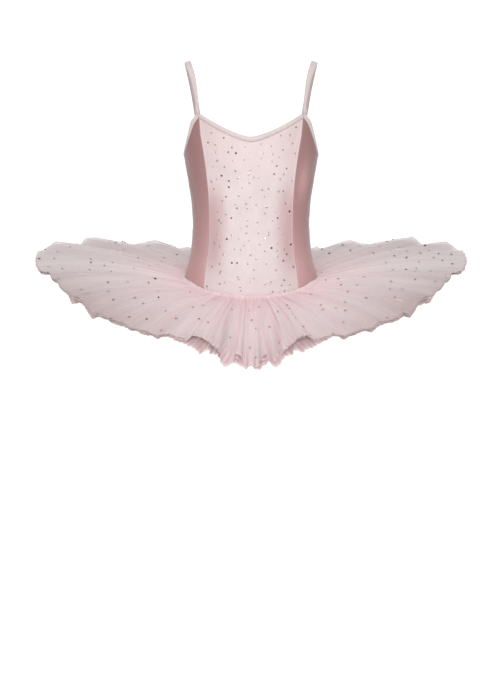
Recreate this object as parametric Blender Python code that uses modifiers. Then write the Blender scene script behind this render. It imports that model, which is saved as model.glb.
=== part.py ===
"""A child's ballet tutu: a camisole bodice with princess seams, bound edges and shoulder straps,
sewn to a brief whose hip carries four gathered layers of net.

Metres, +Z up. The front is at -Y and +X is the wearer's left. The origin lies midway between the
two shoulder straps, level with the underside of their highest points, where the shoulders hold
the garment up. Heights are negative, because everything hangs below the shoulders. Each piece of
cloth is a grid of points on its inner face, which a Solidify modifier thickens.
"""

import math

import bmesh
import bpy
import numpy as np
from mathutils import Vector

# Cloth
PANEL_CLOTH = 0.0015
BINDING_CLOTH = 0.0020
STRAP_CLOTH = 0.0018
NET_CLOTH = 0.0012
SEAM_GAP = 0.0003

# Bodice
NECK_BINDING = 0.008
ARM_BINDING = 0.009
NECK_CENTRE = -0.1125
NECK_CORNER_RISE = 0.0336
NECK_CORNER_X = 0.0833
NECK_CURVE = 1.6
BACK_NECK_CENTRE = -0.165
BACK_NECK_CORNER_RISE = 0.054
BACK_NECK_CURVE = 2.2
SECTION_POWER = 2.3
ARMHOLE_COLUMNS = 23

# Hip seam and brief
HIP_SEAM_SIDE = -0.346
HIP_SEAM_FRONT_DIP = 0.016
HIP_SEAM_BACK_DIP = 0.009
BRIEF_BELLY = 0.85
BACK_FULLNESS = 1.095

# Net skirt
TOP_COLUMNS = 164
FLUTES = 44
COLUMNS_PER_FLUTE = 4
FIRST_ROW_BELOW_SEAM = 0.0022
ROW_SPACING = 0.007
GATHER_HEIGHT = 0.0009
NET_ARCH = 0.009
FLUTES_TIGHTER_IN_FRONT = 0.25
REAR_FULLNESS = 0.7
RING_PLACES = (1.0, 0.66, 0.3, 0.0)


def smooth_value(places, values, place, level_ends=False):
    """The height at a place of a smooth curve through values at places."""
    slopes = np.gradient(values, places)
    if level_ends:
        slopes[[0, -1]] = 0.0
    place = min(max(place, places[0]), places[-1])
    i = min(int(np.searchsorted(places, place, side="right")) - 1, len(places) - 2)
    span = places[i + 1] - places[i]
    t = (place - places[i]) / span
    rise, bend = t * t * (3 - 2 * t), t * (1 - t) * span
    step = rise * (values[i + 1] - values[i])
    return float(values[i] + step + bend * ((1 - t) * slopes[i] - t * slopes[i + 1]))


class Table:
    """Rows of numbers under named columns. A column is read on a smooth curve through the rows."""

    def __init__(self, columns, *rows, level_ends=False):
        self.names = columns.split()
        self.columns = np.array(sorted(rows), float).T
        self.level_ends = level_ends

    def at(self, name, place):
        values = self.columns[self.names.index(name)]
        return smooth_value(self.columns[0], values, place, self.level_ends)


# The general figure that fills the garment: half sizes of its section at each height.
FIGURE = Table(
    "height half_width front_depth back_depth",
    (-0.053, 0.1125, 0.0620, 0.0720),
    (-0.078, 0.1125, 0.0690, 0.0750),
    (-0.110, 0.1113, 0.0765, 0.0785),
    (-0.147, 0.1078, 0.0810, 0.0800),
    (-0.186, 0.1018, 0.0790, 0.0775),
    (-0.225, 0.0957, 0.0748, 0.0740),
    (-0.263, 0.0941, 0.0732, 0.0740),
    (-0.300, 0.0963, 0.0760, 0.0790),
    (-0.328, 0.1015, 0.0795, 0.0850),
    (-0.346, 0.1068, 0.0815, 0.0885),
    (-0.365, 0.1090, 0.0830, 0.0915),
    (-0.393, 0.1095, 0.0835, 0.0925),
)

# Half the width of the front panel, and of the back panel, between the princess seams.
PRINCESS = Table(
    "height half_width",
    (-0.078, 0.0833),
    (-0.110, 0.0807),
    (-0.142, 0.0754),
    (-0.174, 0.0713),
    (-0.206, 0.0686),
    (-0.239, 0.0677),
    (-0.287, 0.0688),
    (-0.320, 0.0725),
    (-0.359, 0.0765),
)

# The lower edge of the armhole binding between the two princess seams, by turn from the front.
ARMHOLE = (
    # turn, height
    (51.0, -0.095),
    (59.0, -0.118),
    (69.5, -0.139),
    (82.0, -0.152),
    (92.0, -0.1555),
    (103.0, -0.153),
    (115.0, -0.145),
    (127.0, -0.133),
)

# The middle of the left strap and the way its outer face looks, from front to back.
STRAP = (
    # x, y, height, face_x, face_y, face_z
    (0.0863, -0.0470, -0.062, 0.55, -0.80, 0.22),
    (0.0893, -0.0425, -0.041, 0.48, -0.77, 0.38),
    (0.0932, -0.0350, -0.022, 0.42, -0.64, 0.62),
    (0.0985, -0.0235, -0.007, 0.36, -0.40, 0.84),
    (0.1020, -0.0040, 0.000, 0.32, -0.06, 0.94),
    (0.1015, 0.0165, -0.006, 0.33, 0.42, 0.84),
    (0.0980, 0.0330, -0.023, 0.38, 0.72, 0.56),
    (0.0930, 0.0465, -0.050, 0.44, 0.82, 0.32),
    (0.0880, 0.0560, -0.082, 0.50, 0.84, 0.14),
)

# The brief's leg edge and half its crotch seam, by turn from the front.
LEG = Table(
    "turn x y height",
    (0, 0.0000, 0.0000, -0.4450),
    (10, 0.0115, 0.0000, -0.4447),
    (20, 0.0230, 0.0000, -0.4438),
    (30, 0.0340, 0.0000, -0.4415),
    (40, 0.0590, -0.0400, -0.4275),
    (53, 0.0850, -0.0510, -0.4090),
    (66, 0.1000, -0.0390, -0.3965),
    (78, 0.1078, -0.0215, -0.3885),
    (90, 0.1100, 0.0000, -0.3855),
)

# The top layer's hem by turn from the front: its distance from the middle and its mean height.
HEM = Table(
    "turn reach height",
    (0, 0.318, -0.4265),
    (14, 0.322, -0.398),
    (29, 0.331, -0.377),
    (40, 0.338, -0.364),
    (51, 0.345, -0.345),
    (62, 0.350, -0.325),
    (77, 0.353, -0.312),
    (92, 0.353, -0.309),
    (108, 0.350, -0.308),
    (125, 0.345, -0.312),
    (149, 0.338, -0.331),
    (163, 0.334, -0.350),
    (180, 0.332, -0.359),
    level_ends=True,
)

# The top layer's lobes by turn from the front: how far each crest and trough lifts the hem.
LOBES = Table(
    "turn lift",
    (0.0, 0.0100),
    (3.2, 0.0060),
    (6.8, -0.0105),
    (10.6, 0.0030),
    (14.6, -0.0060),
    (19.5, 0.0045),
    (25.0, -0.0055),
    (31.0, 0.0050),
    (37.0, -0.0045),
    (43.0, 0.0050),
    (48.5, -0.0055),
    (54.0, 0.0035),
    (60.0, -0.0050),
    (66.5, 0.0050),
    (73.0, -0.0045),
    (79.5, 0.0045),
    (86.5, -0.0060),
    (93.5, 0.0040),
    (101.0, -0.0040),
    (110.0, 0.0065),
    (117.0, -0.0065),
    (124.5, 0.0075),
    (132.0, 0.0010),
    (142.0, -0.0055),
    (150.0, 0.0070),
    (155.5, -0.0035),
    (160.0, 0.0045),
    (166.0, -0.0045),
    (172.5, 0.0045),
    (180.0, -0.0035),
    level_ends=True,
)

# The layers of net from the top down. An under layer takes a share of the lobes' lift and has
# narrower flutes of its own.
LAYERS = (
    # name, hem_drop, lobe_share, flute, shorter, phase
    ("net_top_layer", 0.0000, 1.0, 0.0000, 0.000, 0.0),
    ("net_second_layer", 0.0135, 0.4, 0.0046, 0.001, 0.0),
    ("net_third_layer", 0.0180, 0.4, 0.0044, 0.004, 0.25),
    ("net_bottom_layer", 0.0225, 0.4, 0.0042, 0.008, -0.05),
)

# Linear colour, roughness and metallic value of each cloth.
FOIL_DOT_LYCRA = ("foil_dot_lycra", (0.84, 0.70, 0.70), 0.45, 0.0)
SATIN_LYCRA = ("satin_lycra", (0.47, 0.28, 0.28), 0.38, 0.0)
BINDING_LYCRA = ("binding_lycra", (0.82, 0.68, 0.68), 0.55, 0.0)
PLAIN_LYCRA = ("plain_lycra", (0.80, 0.63, 0.64), 0.55, 0.0)
DOTTED_NET = ("foil_dot_net", (0.78, 0.60, 0.62), 0.60, 0.0)
PLAIN_NET = ("plain_net", (0.74, 0.53, 0.56), 0.65, 0.0)


def clear_scene():
    for thing in list(bpy.data.objects):
        bpy.data.objects.remove(thing)


def signed_power(value, power):
    return math.copysign(abs(value) ** power, value)


def off_surface(surface, across, along, out):
    """A point of surface(across, along), moved out along the surface's normal."""
    step = 1e-4
    right = surface(across + step, along) - surface(across - step, along)
    up = surface(across, along + step) - surface(across, along - step)
    return surface(across, along) + out * right.cross(up).normalized()


def figure(turn, height):
    """The figure's surface at a turn from the front, in radians, and a height."""
    side, ahead = math.sin(turn), math.cos(turn)
    depth = FIGURE.at("front_depth" if ahead > 0 else "back_depth", height)
    return Vector(
        (
            FIGURE.at("half_width", height) * signed_power(side, 2 / SECTION_POWER),
            -depth * signed_power(ahead, 2 / SECTION_POWER),
            height,
        )
    )


def turn_at(x, height, behind=False):
    """The turn from the front at which the figure is x wide of the middle."""
    share = min(1.0, abs(x) / FIGURE.at("half_width", height))
    turn = math.copysign(math.asin(share ** (SECTION_POWER / 2)), x)
    return math.pi - turn if behind else turn


def turn_of(point):
    """The turn from the front of a point on or near the figure."""
    depth = FIGURE.at("front_depth" if point.y < 0 else "back_depth", point.z)
    side = signed_power(point.x / FIGURE.at("half_width", point.z), SECTION_POWER / 2)
    ahead = signed_power(-point.y / depth, SECTION_POWER / 2)
    return math.atan2(side, ahead)


def settled(first, step):
    """The value at which step(value) stops changing."""
    value = first
    for _ in range(40):
        value = 0.5 * (value + step(value))
    return value


def blend(start, end, share):
    return start + (end - start) * share


def shares(count):
    return [i / (count - 1) for i in range(count)]


def smooth_line(points, count):
    """Count points, evenly spaced by row, on a smooth curve through the given ones."""
    given = np.array([tuple(point) for point in points], float)
    rows = np.arange(len(given))
    places = [share * rows[-1] for share in shares(count)]
    return [[smooth_value(rows, values, place) for values in given.T] for place in places]


def mirrored(rows):
    """The same grid on the wearer's right, with its outer face still outside."""
    return [[Vector((-p.x, p.y, p.z)) for p in reversed(row)] for row in rows]


def material_of(cloth):
    name, colour, roughness, metallic = cloth
    found = bpy.data.materials.get(name)
    if found:
        return found
    made = bpy.data.materials.new(name)
    made.use_nodes = True
    shader = made.node_tree.nodes["Principled BSDF"]
    shader.inputs["Base Color"].default_value = (*colour, 1.0)
    shader.inputs["Roughness"].default_value = roughness
    shader.inputs["Metallic"].default_value = metallic
    return made


def sew(collection, name, rows, thickness, cloth, ring=False, outwards=1.0):
    """One piece of cloth from a grid of points. Rows run towards the neck, and columns run from
    the wearer's right to the left across the front. A ring closes on itself."""
    mesh = bpy.data.meshes.new(name)
    draft = bmesh.new()
    grid = [[draft.verts.new(point) for point in row] for row in rows]
    last = len(rows[0]) if ring else len(rows[0]) - 1
    for low, high in zip(grid, grid[1:]):
        for i in range(last):
            j = (i + 1) % len(low)
            draft.faces.new((low[i], low[j], high[j], high[i]))
    draft.to_mesh(mesh)
    draft.free()
    mesh.shade_smooth()
    mesh.materials.append(material_of(cloth))
    piece = bpy.data.objects.new(name, mesh)
    collection.objects.link(piece)
    wall = piece.modifiers.new("cloth", "SOLIDIFY")
    wall.thickness = thickness
    wall.offset = outwards
    wall.use_even_offset = True
    return piece


def hip_seam(turn):
    dip = HIP_SEAM_FRONT_DIP if math.cos(turn) > 0 else HIP_SEAM_BACK_DIP
    return HIP_SEAM_SIDE - dip * math.cos(turn) ** 2


def neck_edge(x):
    return NECK_CENTRE + NECK_CORNER_RISE * (abs(x) / NECK_CORNER_X) ** NECK_CURVE


def back_neck_edge(x):
    return BACK_NECK_CENTRE + BACK_NECK_CORNER_RISE * (abs(x) / NECK_CORNER_X) ** BACK_NECK_CURVE


def corner(edge):
    """Half the width and the height of the corner where a neck binding ends on its panel."""
    height = settled(edge(NECK_CORNER_X), lambda z: edge(PRINCESS.at("half_width", z)) - NECK_BINDING)
    return PRINCESS.at("half_width", height), height


def middle_panel(edge, behind, columns, rows):
    """The front or back panel's grid, between the princess seams and below its neck binding."""
    grid = [[None] * columns for _ in range(rows)]
    for i, share in enumerate(shares(columns)):
        across = (1 - 2 * share) if behind else (2 * share - 1)

        def width(z, across=across):
            return across * (PRINCESS.at("half_width", z) - SEAM_GAP / 2)

        top = settled(edge(0), lambda z: edge(width(z)) - NECK_BINDING - SEAM_GAP)
        foot = settled(HIP_SEAM_SIDE, lambda z: hip_seam(turn_at(width(z), z, behind)))
        for j, rise in enumerate(shares(rows)):
            z = blend(foot, top, rise)
            grid[j][i] = figure(turn_at(width(z), z, behind), z)
    return grid


def neck_band(edge, behind, panel):
    """The grid of a neck binding, along the top of its panel's grid."""
    rows = []
    for low in (NECK_BINDING, NECK_BINDING / 2, 0.0):
        heights = [(point.x, edge(point.x) - low) for point in panel[-1]]
        rows.append([figure(turn_at(x, z, behind), z) for x, z in heights])
    return rows


def inner_turn(edge, behind, height):
    """The turn, at a height, just beyond the end of a neck binding."""
    half, _ = corner(edge)
    return turn_at(half + SEAM_GAP / 2, height, behind)


def armhole_line(count):
    """The lower edge of the left armhole binding as (turn, height), from front to back. Its first
    and last steps climb the ends of the neck bindings."""
    (_, front), (_, back) = corner(neck_edge), corner(back_neck_edge)
    given = [(inner_turn(neck_edge, False, front), front)]
    given += [(math.radians(turn), height) for turn, height in ARMHOLE]
    given += [(inner_turn(back_neck_edge, True, back), back)]
    line = smooth_line(given, count - 2)
    front, back = front + NECK_BINDING, back + NECK_BINDING
    line.insert(0, (inner_turn(neck_edge, False, front), front))
    line.append((inner_turn(back_neck_edge, True, back), back))
    return line


def armhole_band(columns):
    """The grid of the left armhole binding: its edge moved off square to itself, over the figure."""
    line = [figure(turn, height) for turn, height in armhole_line(columns)]
    rows = [line]
    for share in (0.5, 1.0):
        row = []
        for i, point in enumerate(line):
            ahead = line[min(i + 1, columns - 1)] - line[max(i - 1, 0)]
            turn = turn_of(point)
            outward = off_surface(figure, turn, point.z, 1.0) - figure(turn, point.z)
            moved = point + share * ARM_BINDING * outward.cross(ahead).normalized()
            row.append(figure(turn_of(moved), moved.z))
        rows.append(row)
    return rows


def side_panel(columns, rows):
    """The left side panel's grid, between the princess seams and below the armhole binding. Each
    column hangs from one column of the binding."""
    grid = [[None] * columns for _ in range(rows)]
    for i, (turn, height) in enumerate(armhole_line(columns + 2)[1:-1]):
        top = height - SEAM_GAP

        def seams(z):
            half = PRINCESS.at("half_width", z) + SEAM_GAP / 2
            return turn_at(half, z), turn_at(half, z, True)

        front, back = seams(top)
        share = min(1.0, max(0.0, (turn - front) / (back - front)))
        foot = settled(HIP_SEAM_SIDE, lambda z: hip_seam(blend(*seams(z), share)))
        for j, rise in enumerate(shares(rows)):
            z = blend(foot, top, rise)
            grid[j][i] = figure(blend(*seams(z), share), z)
    return grid


def strap(rows):
    """The left strap's grid, from the front corner over the shoulder to the back corner."""
    band = armhole_band(ARMHOLE_COLUMNS)
    ends = [[row[i] + Vector((0, 0, SEAM_GAP)) for row in band] for i in (0, -1)]
    sewn = []
    for _, middle, _ in ends:
        turn = turn_of(middle)
        face = off_surface(figure, turn, middle.z, 1.0) - figure(turn, middle.z)
        sewn.append((*middle, *face))
    line = smooth_line([sewn[0], *STRAP, sewn[1]], rows)
    grid = [ends[0]]
    for before, row, after in zip(line, line[1:], line[2:]):
        ahead = Vector(after[:3]) - Vector(before[:3])
        across = Vector(row[3:]).cross(ahead).normalized() * ARM_BINDING / 2
        middle = Vector(row[:3])
        grid.append([middle + across, middle, middle - across])
    grid.append(ends[1])
    return grid


def brief(turn, down):
    """The brief's inner face: down runs from 0 at the hip seam to 1 at the leg edge and crotch."""
    behind = math.cos(turn) < 0
    around = math.degrees(math.asin(min(1.0, abs(math.sin(turn)))))
    side = math.copysign(1.0, math.sin(turn))
    depth = -BACK_FULLNESS if behind else 1.0
    start = figure(turn, hip_seam(turn) - SEAM_GAP)
    end = Vector(
        (side * LEG.at("x", around), depth * min(0.0, LEG.at("y", around)), LEG.at("height", around))
    )
    belly = Vector((start.x, start.y, blend(start.z, end.z, BRIEF_BELLY)))
    return (1 - down) ** 2 * start + 2 * down * (1 - down) * belly + down**2 * end


def brief_half(behind, columns, rows):
    """The grid of the brief's front or back, with its side seams and crotch seam open a little."""
    middle, away = (math.pi, 1.0) if behind else (0.0, -1.0)
    grid = []
    for rise in shares(rows):
        row = []
        for share in shares(columns):
            point = brief(middle + math.pi * (share - 0.5) * 0.9999, 1 - rise)
            row.append(point + Vector((0, away * SEAM_GAP / 2, 0)))
        grid.append(row)
    return grid


def sewn_to_brief(turn, below_seam):
    """A point just off the brief's outer face, below the hip seam."""
    height = hip_seam(turn) - below_seam
    low, high = 0.0, 1.0
    for _ in range(30):
        middle = (low + high) / 2
        low, high = (middle, high) if brief(turn, middle).z > height else (low, middle)
    return off_surface(
        lambda across, along: brief(across, -along), turn, -low, PANEL_CLOTH + 2 * SEAM_GAP
    )


def spread(place):
    """The turn at an even place round the skirt: flutes lie closer together in front."""
    turn = place - FLUTES_TIGHTER_IN_FRONT * math.sin(place)
    return turn + 0.03 * math.sin(3 * place) + 0.02 * math.sin(7 * place)


def net_layer(number):
    """The top face of one layer of net, from the hem in to the row that sews it to the brief."""
    _, hem_drop, lobe_share, flute, shorter, phase = LAYERS[number]
    columns = FLUTES * COLUMNS_PER_FLUTE if flute else TOP_COLUMNS
    grid = [[] for _ in RING_PLACES]
    for i in range(columns):
        angle = 2 * math.pi * i / columns
        place = settled(angle, lambda p: angle - phase * math.sin(p) / FLUTES)
        wave = -math.cos(FLUTES * angle)
        turn = spread(place)
        around = math.degrees(math.acos(math.cos(turn)))
        root = sewn_to_brief(turn, FIRST_ROW_BELOW_SEAM + number * ROW_SPACING)
        reach = HEM.at("reach", around) - shorter
        fullness = blend(REAR_FULLNESS, 1.0, math.cos(turn / 2) ** 4)
        height = HEM.at("height", around) - hem_drop * fullness
        hem = Vector((reach * math.sin(turn), -reach * math.cos(turn), height))
        lift = lobe_share * LOBES.at("lift", around) + flute * fullness * wave
        for row, share in zip(grid, RING_PLACES):
            point = blend(root, hem, share)
            point.z += NET_ARCH * math.sin(math.pi * share)
            point.z += blend(wave * GATHER_HEIGHT, lift, share**1.3)
            row.append(point)
    return grid


def build():
    clear_scene()
    tutu = bpy.data.collections.new("ballet_tutu")
    bpy.context.scene.collection.children.link(tutu)

    for side, edge, behind, rows in (("front", neck_edge, False, 13), ("back", back_neck_edge, True, 11)):
        panel = middle_panel(edge, behind, 17, rows)
        sew(tutu, side + "_panel", panel, PANEL_CLOTH, FOIL_DOT_LYCRA)
        band = neck_band(edge, behind, panel)
        sew(tutu, side + "_neck_binding", band, BINDING_CLOTH, BINDING_LYCRA)

    pairs = (
        ("side_panel", side_panel(ARMHOLE_COLUMNS - 2, 9), PANEL_CLOTH, SATIN_LYCRA),
        ("armhole_binding", armhole_band(ARMHOLE_COLUMNS), BINDING_CLOTH, BINDING_LYCRA),
        ("strap", strap(25), STRAP_CLOTH, BINDING_LYCRA),
    )
    for name, grid, thickness, cloth in pairs:
        sew(tutu, name + "_left", grid, thickness, cloth)
        sew(tutu, name + "_right", mirrored(grid), thickness, cloth)

    sew(tutu, "brief_front", brief_half(False, 19, 9), PANEL_CLOTH, PLAIN_LYCRA)
    sew(tutu, "brief_back", brief_half(True, 19, 9), PANEL_CLOTH, PLAIN_LYCRA)

    for number, (name, *_) in enumerate(LAYERS):
        net = DOTTED_NET if number == 0 else PLAIN_NET
        sew(tutu, name, net_layer(number), NET_CLOTH, net, ring=True, outwards=-1.0)


build()
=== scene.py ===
"""Dresses the ballet tutu: stretch panels, bound edges, straps, brief, gathered net and foil dots.

The file is laid out as a Blender add-on and is run as a script. Metres, +Z up, front at -Y, and
the origin between the shoulder straps. Every piece is worked out from the garment's own sizes.
"""

import math
from collections import namedtuple

import bmesh
import bpy
import numpy as np
from bpy.props import (
    BoolProperty,
    FloatProperty,
    FloatVectorProperty,
    IntProperty,
    PointerProperty,
)
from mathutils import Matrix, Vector


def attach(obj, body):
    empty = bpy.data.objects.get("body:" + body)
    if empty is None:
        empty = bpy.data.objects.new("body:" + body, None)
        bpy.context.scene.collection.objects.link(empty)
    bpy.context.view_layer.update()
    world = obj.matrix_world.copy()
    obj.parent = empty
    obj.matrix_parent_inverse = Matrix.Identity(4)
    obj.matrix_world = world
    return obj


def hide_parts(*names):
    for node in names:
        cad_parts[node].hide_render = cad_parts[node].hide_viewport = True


bl_info = {
    "name": "Ballet tutu",
    "version": (1, 0, 0),
    "blender": (4, 5, 0),
    "location": "3D View > Sidebar > Tutu",
    "description": "Sews a child's ballet tutu with a camisole bodice and layered net",
    "category": "Object",
}

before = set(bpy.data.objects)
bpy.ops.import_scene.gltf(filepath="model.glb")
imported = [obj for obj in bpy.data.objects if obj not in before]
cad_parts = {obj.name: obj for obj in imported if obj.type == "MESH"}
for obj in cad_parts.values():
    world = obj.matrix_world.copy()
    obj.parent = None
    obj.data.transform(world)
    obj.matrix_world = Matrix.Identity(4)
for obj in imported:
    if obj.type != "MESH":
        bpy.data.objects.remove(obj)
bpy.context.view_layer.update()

# Left to right
MIRROR = np.array([-1.0, 1.0, 1.0])

# Cloth: how far its outer face stands off the figure, how thick it is, and its knit's size
PANEL_CLOTH = 0.0015
PANEL_SHELL = 0.0008
TAPE_SHELL = 0.0013
PANEL_KNIT = 0.0007
TAPE_KNIT = 0.0006
SEAM_GAP = 0.00003
NET_STAND_OFF = 0.0006

# Bodice
SECTION_POWER = 2.3
NECK_BINDING = 0.008
NECK_CENTRE = -0.1125
NECK_CORNER_RISE = 0.0362
NECK_CORNER_X = 0.0833
NECK_CURVE = 1.45
NECK_COLUMNS = 121
BACK_NECK_CENTRE = -0.165
BACK_NECK_CORNER_RISE = 0.054
BACK_NECK_CURVE = 2.2

# Armhole binding: its outline has this many columns from front to back. It keeps its width over
# the end columns, and is slimmed by a share of it under the arm.
ARM_BINDING = 0.009
ARM_COLUMNS = 23
ARM_END_COLUMNS = 3
ARM_END_EASE = 0.35
ARM_SLIMMING_COLUMNS = 4
ARM_SLIM = 0.4

# Strap: slimmed by a share of its width at the front foot, less and less up to a place along it
STRAP_ROWS = 181
STRAP_SLIM = 0.36
STRAP_FULL_FROM = 0.42
STRAP_SLIMMING = 0.28

# Hip seam and brief
HIP_SEAM_SIDE = -0.3483
HIP_SEAM_FRONT_DIP = 0.0200
HIP_SEAM_BACK_DIP = 0.006
BRIEF_CLOTH = 0.0012
BRIEF_COLUMNS = 145
BRIEF_ROWS = 73
BRIEF_BELLY = 0.85
BACK_FULLNESS = 1.095
BRIEF_HALVES = (
    # name, middle turn, way along Y
    ("brief_front", 0.0, -1.0),
    ("brief_back", math.pi, 1.0),
)
LEG_HEM = 0.007
LEG_HEM_RISE = 0.0004
LEG_HEM_STEP = 0.0004
LEG_STITCHES = 0.0058
LEG_GROOVE = 0.0003
LEG_GROOVE_WIDTH = 0.0006

# Net skirt
FLUTES = 44
FIRST_ROW_BELOW_SEAM = 0.0022
ROW_SPACING = 0.007
NET_ARCH = 0.009
FLUTES_TIGHTER_IN_FRONT = 0.25


def smooth_values(places, values, place, level_ends=False):
    """Heights at some places of a smooth curve through values at places."""
    slopes = np.gradient(values, places)
    if level_ends:
        slopes[[0, -1]] = 0.0
    place = np.clip(place, places[0], places[-1])
    i = np.clip(np.searchsorted(places, place, side="right") - 1, 0, len(places) - 2)
    span = places[i + 1] - places[i]
    t = (place - places[i]) / span
    rise, bend = t * t * (3 - 2 * t), t * (1 - t) * span
    step = rise * (values[i + 1] - values[i])
    return values[i] + step + bend * ((1 - t) * slopes[i] - t * slopes[i + 1])


class Table:
    """Rows of numbers under named columns. A column is read on a smooth curve through the rows."""

    def __init__(self, columns, *rows, level_ends=False):
        self.names = columns.split()
        self.columns = np.array(sorted(rows), float).T
        self.level_ends = level_ends

    def at(self, name, place):
        values = self.columns[self.names.index(name)]
        return smooth_values(self.columns[0], values, place, self.level_ends)


FIGURE = Table(
    "height half_width front_depth back_depth",
    (-0.053, 0.1125, 0.0620, 0.0720),
    (-0.078, 0.1125, 0.0690, 0.0750),
    (-0.110, 0.1113, 0.0765, 0.0785),
    (-0.147, 0.1078, 0.0810, 0.0800),
    (-0.186, 0.1018, 0.0790, 0.0775),
    (-0.225, 0.0957, 0.0748, 0.0740),
    (-0.263, 0.0941, 0.0732, 0.0740),
    (-0.300, 0.0963, 0.0760, 0.0790),
    (-0.328, 0.1015, 0.0795, 0.0850),
    (-0.346, 0.1068, 0.0815, 0.0885),
    (-0.365, 0.1090, 0.0830, 0.0915),
    (-0.393, 0.1095, 0.0835, 0.0925),
)

PRINCESS = Table(
    "height half_width",
    (-0.078, 0.0833), (-0.110, 0.0807), (-0.142, 0.0754), (-0.174, 0.0713), (-0.206, 0.0686),
    (-0.239, 0.0677), (-0.287, 0.0688), (-0.320, 0.0725), (-0.359, 0.0765),
)

ARMHOLE = (
    # turn, height
    (51.0, -0.095), (59.0, -0.118), (69.5, -0.139), (82.0, -0.152), (92.0, -0.1555),
    (103.0, -0.153), (115.0, -0.145), (127.0, -0.133),
)

STRAP = (
    # x, y, height, face_x, face_y, face_z
    (0.0863, -0.0470, -0.062, 0.76, -0.60, 0.20),
    (0.0893, -0.0425, -0.041, 0.62, -0.68, 0.36),
    (0.0932, -0.0350, -0.022, 0.48, -0.62, 0.62),
    (0.0985, -0.0235, -0.007, 0.36, -0.40, 0.84),
    (0.1020, -0.0040, 0.000, 0.32, -0.06, 0.94),
    (0.1015, 0.0165, -0.006, 0.33, 0.42, 0.84),
    (0.0980, 0.0330, -0.023, 0.38, 0.72, 0.56),
    (0.0930, 0.0465, -0.050, 0.44, 0.82, 0.32),
    (0.0880, 0.0560, -0.082, 0.50, 0.84, 0.14),
)

LEG = Table(
    "turn x y height",
    (0, 0.0000, 0.0000, -0.4450),
    (10, 0.0115, 0.0000, -0.4447),
    (20, 0.0230, 0.0000, -0.4438),
    (30, 0.0340, 0.0000, -0.4415),
    (40, 0.0590, -0.0400, -0.4275),
    (53, 0.0850, -0.0510, -0.4090),
    (66, 0.1000, -0.0390, -0.3965),
    (78, 0.1078, -0.0215, -0.3885),
    (90, 0.1100, 0.0000, -0.3855),
)

HEM = Table(
    "turn reach height",
    (0, 0.318, -0.4265),
    (14, 0.322, -0.398),
    (29, 0.331, -0.377),
    (40, 0.338, -0.364),
    (51, 0.345, -0.345),
    (62, 0.350, -0.325),
    (77, 0.353, -0.312),
    (85, 0.352, -0.3105),
    (92, 0.353, -0.309),
    (108, 0.350, -0.308),
    (125, 0.345, -0.312),
    (149, 0.338, -0.331),
    (163, 0.334, -0.350),
    (180, 0.332, -0.359),
    level_ends=True,
)

# Where the hems of the top and bottom layers hang, above or below the even hem.
TOP_HEM = (
    # turn, lift
    (0.0, -0.0085), (0.8, -0.0110), (1.6, -0.0150), (2.3, -0.0110), (2.8, -0.0020),
    (3.6, 0.0000), (4.4, 0.0000), (4.9, -0.0090), (5.8, -0.0175), (6.8, -0.0235),
    (7.8, -0.0215), (8.5, -0.0150), (8.9, -0.0040), (9.7, -0.0027), (11.2, 0.0000),
    (12.7, 0.0038), (14.9, 0.0040), (15.8, 0.0015), (17.1, -0.0070), (19.9, -0.0085),
    (22.3, -0.0070), (24.6, -0.0125), (25.8, -0.0160), (28.6, -0.0135), (30.3, -0.0145),
    (33.6, -0.0165), (36.0, -0.0105), (40.2, -0.0140), (44.1, -0.0120), (46.4, -0.0190),
    (49.2, -0.0075), (51.8, -0.0050), (54.2, -0.0110), (57.0, -0.0090), (59.1, -0.0100),
    (60.9, -0.0045), (64.1, -0.0060), (64.8, -0.0005), (68.4, -0.0050), (73.0, -0.0110),
    (76.2, -0.0115), (79.3, -0.0095), (85.0, -0.0085), (90.0, -0.0070), (94.3, -0.0040),
    (96.0, -0.0028), (101.2, -0.0065), (105.5, -0.0010), (109.5, 0.0024), (114.6, -0.0040),
    (120.5, -0.0100), (122.6, -0.0082), (124.1, -0.0015), (126.2, 0.0036), (133.0, -0.0010),
    (142.5, -0.0075), (150.0, 0.0065), (156.0, -0.0050), (160.5, 0.0060), (166.0, -0.0045),
    (172.5, 0.0045), (180.0, -0.0035),
)

LOW_HEM = (
    # turn, lift
    (0.0, -0.0120), (0.8, -0.0141), (1.7, -0.0196), (2.9, -0.0165), (4.0, -0.0142),
    (5.0, -0.0120), (6.0, -0.0180), (6.8, -0.0240), (7.8, -0.0220), (8.6, -0.0155),
    (9.8, -0.0140), (10.8, -0.0175), (11.5, -0.0110), (12.5, -0.0150), (13.5, -0.0220),
    (14.9, -0.0185), (17.1, -0.0165), (19.9, -0.0140), (23.1, -0.0115), (24.6, -0.0175),
    (25.8, -0.0205), (27.2, -0.0145), (28.6, -0.0195), (30.3, -0.0190), (31.9, -0.0175),
    (33.6, -0.0215), (36.0, -0.0160), (40.2, -0.0190), (44.1, -0.0175), (46.4, -0.0265),
    (48.1, -0.0200), (49.2, -0.0140), (51.8, -0.0155), (54.2, -0.0230), (55.6, -0.0150),
    (57.0, -0.0118), (59.1, -0.0130), (60.9, -0.0070), (64.1, -0.0090), (64.8, -0.0030),
    (68.4, -0.0078), (73.0, -0.0138), (76.2, -0.0145), (79.3, -0.0120), (85.0, -0.0110),
    (90.0, -0.0098), (94.3, -0.0080), (101.2, -0.0120), (109.5, -0.0060), (120.5, -0.0180),
    (126.2, -0.0070), (133.0, -0.0120), (142.5, -0.0180), (150.0, -0.0050), (156.0, -0.0160),
    (160.5, -0.0070), (166.0, -0.0160), (172.5, -0.0070), (180.0, -0.0150),
)

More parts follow.
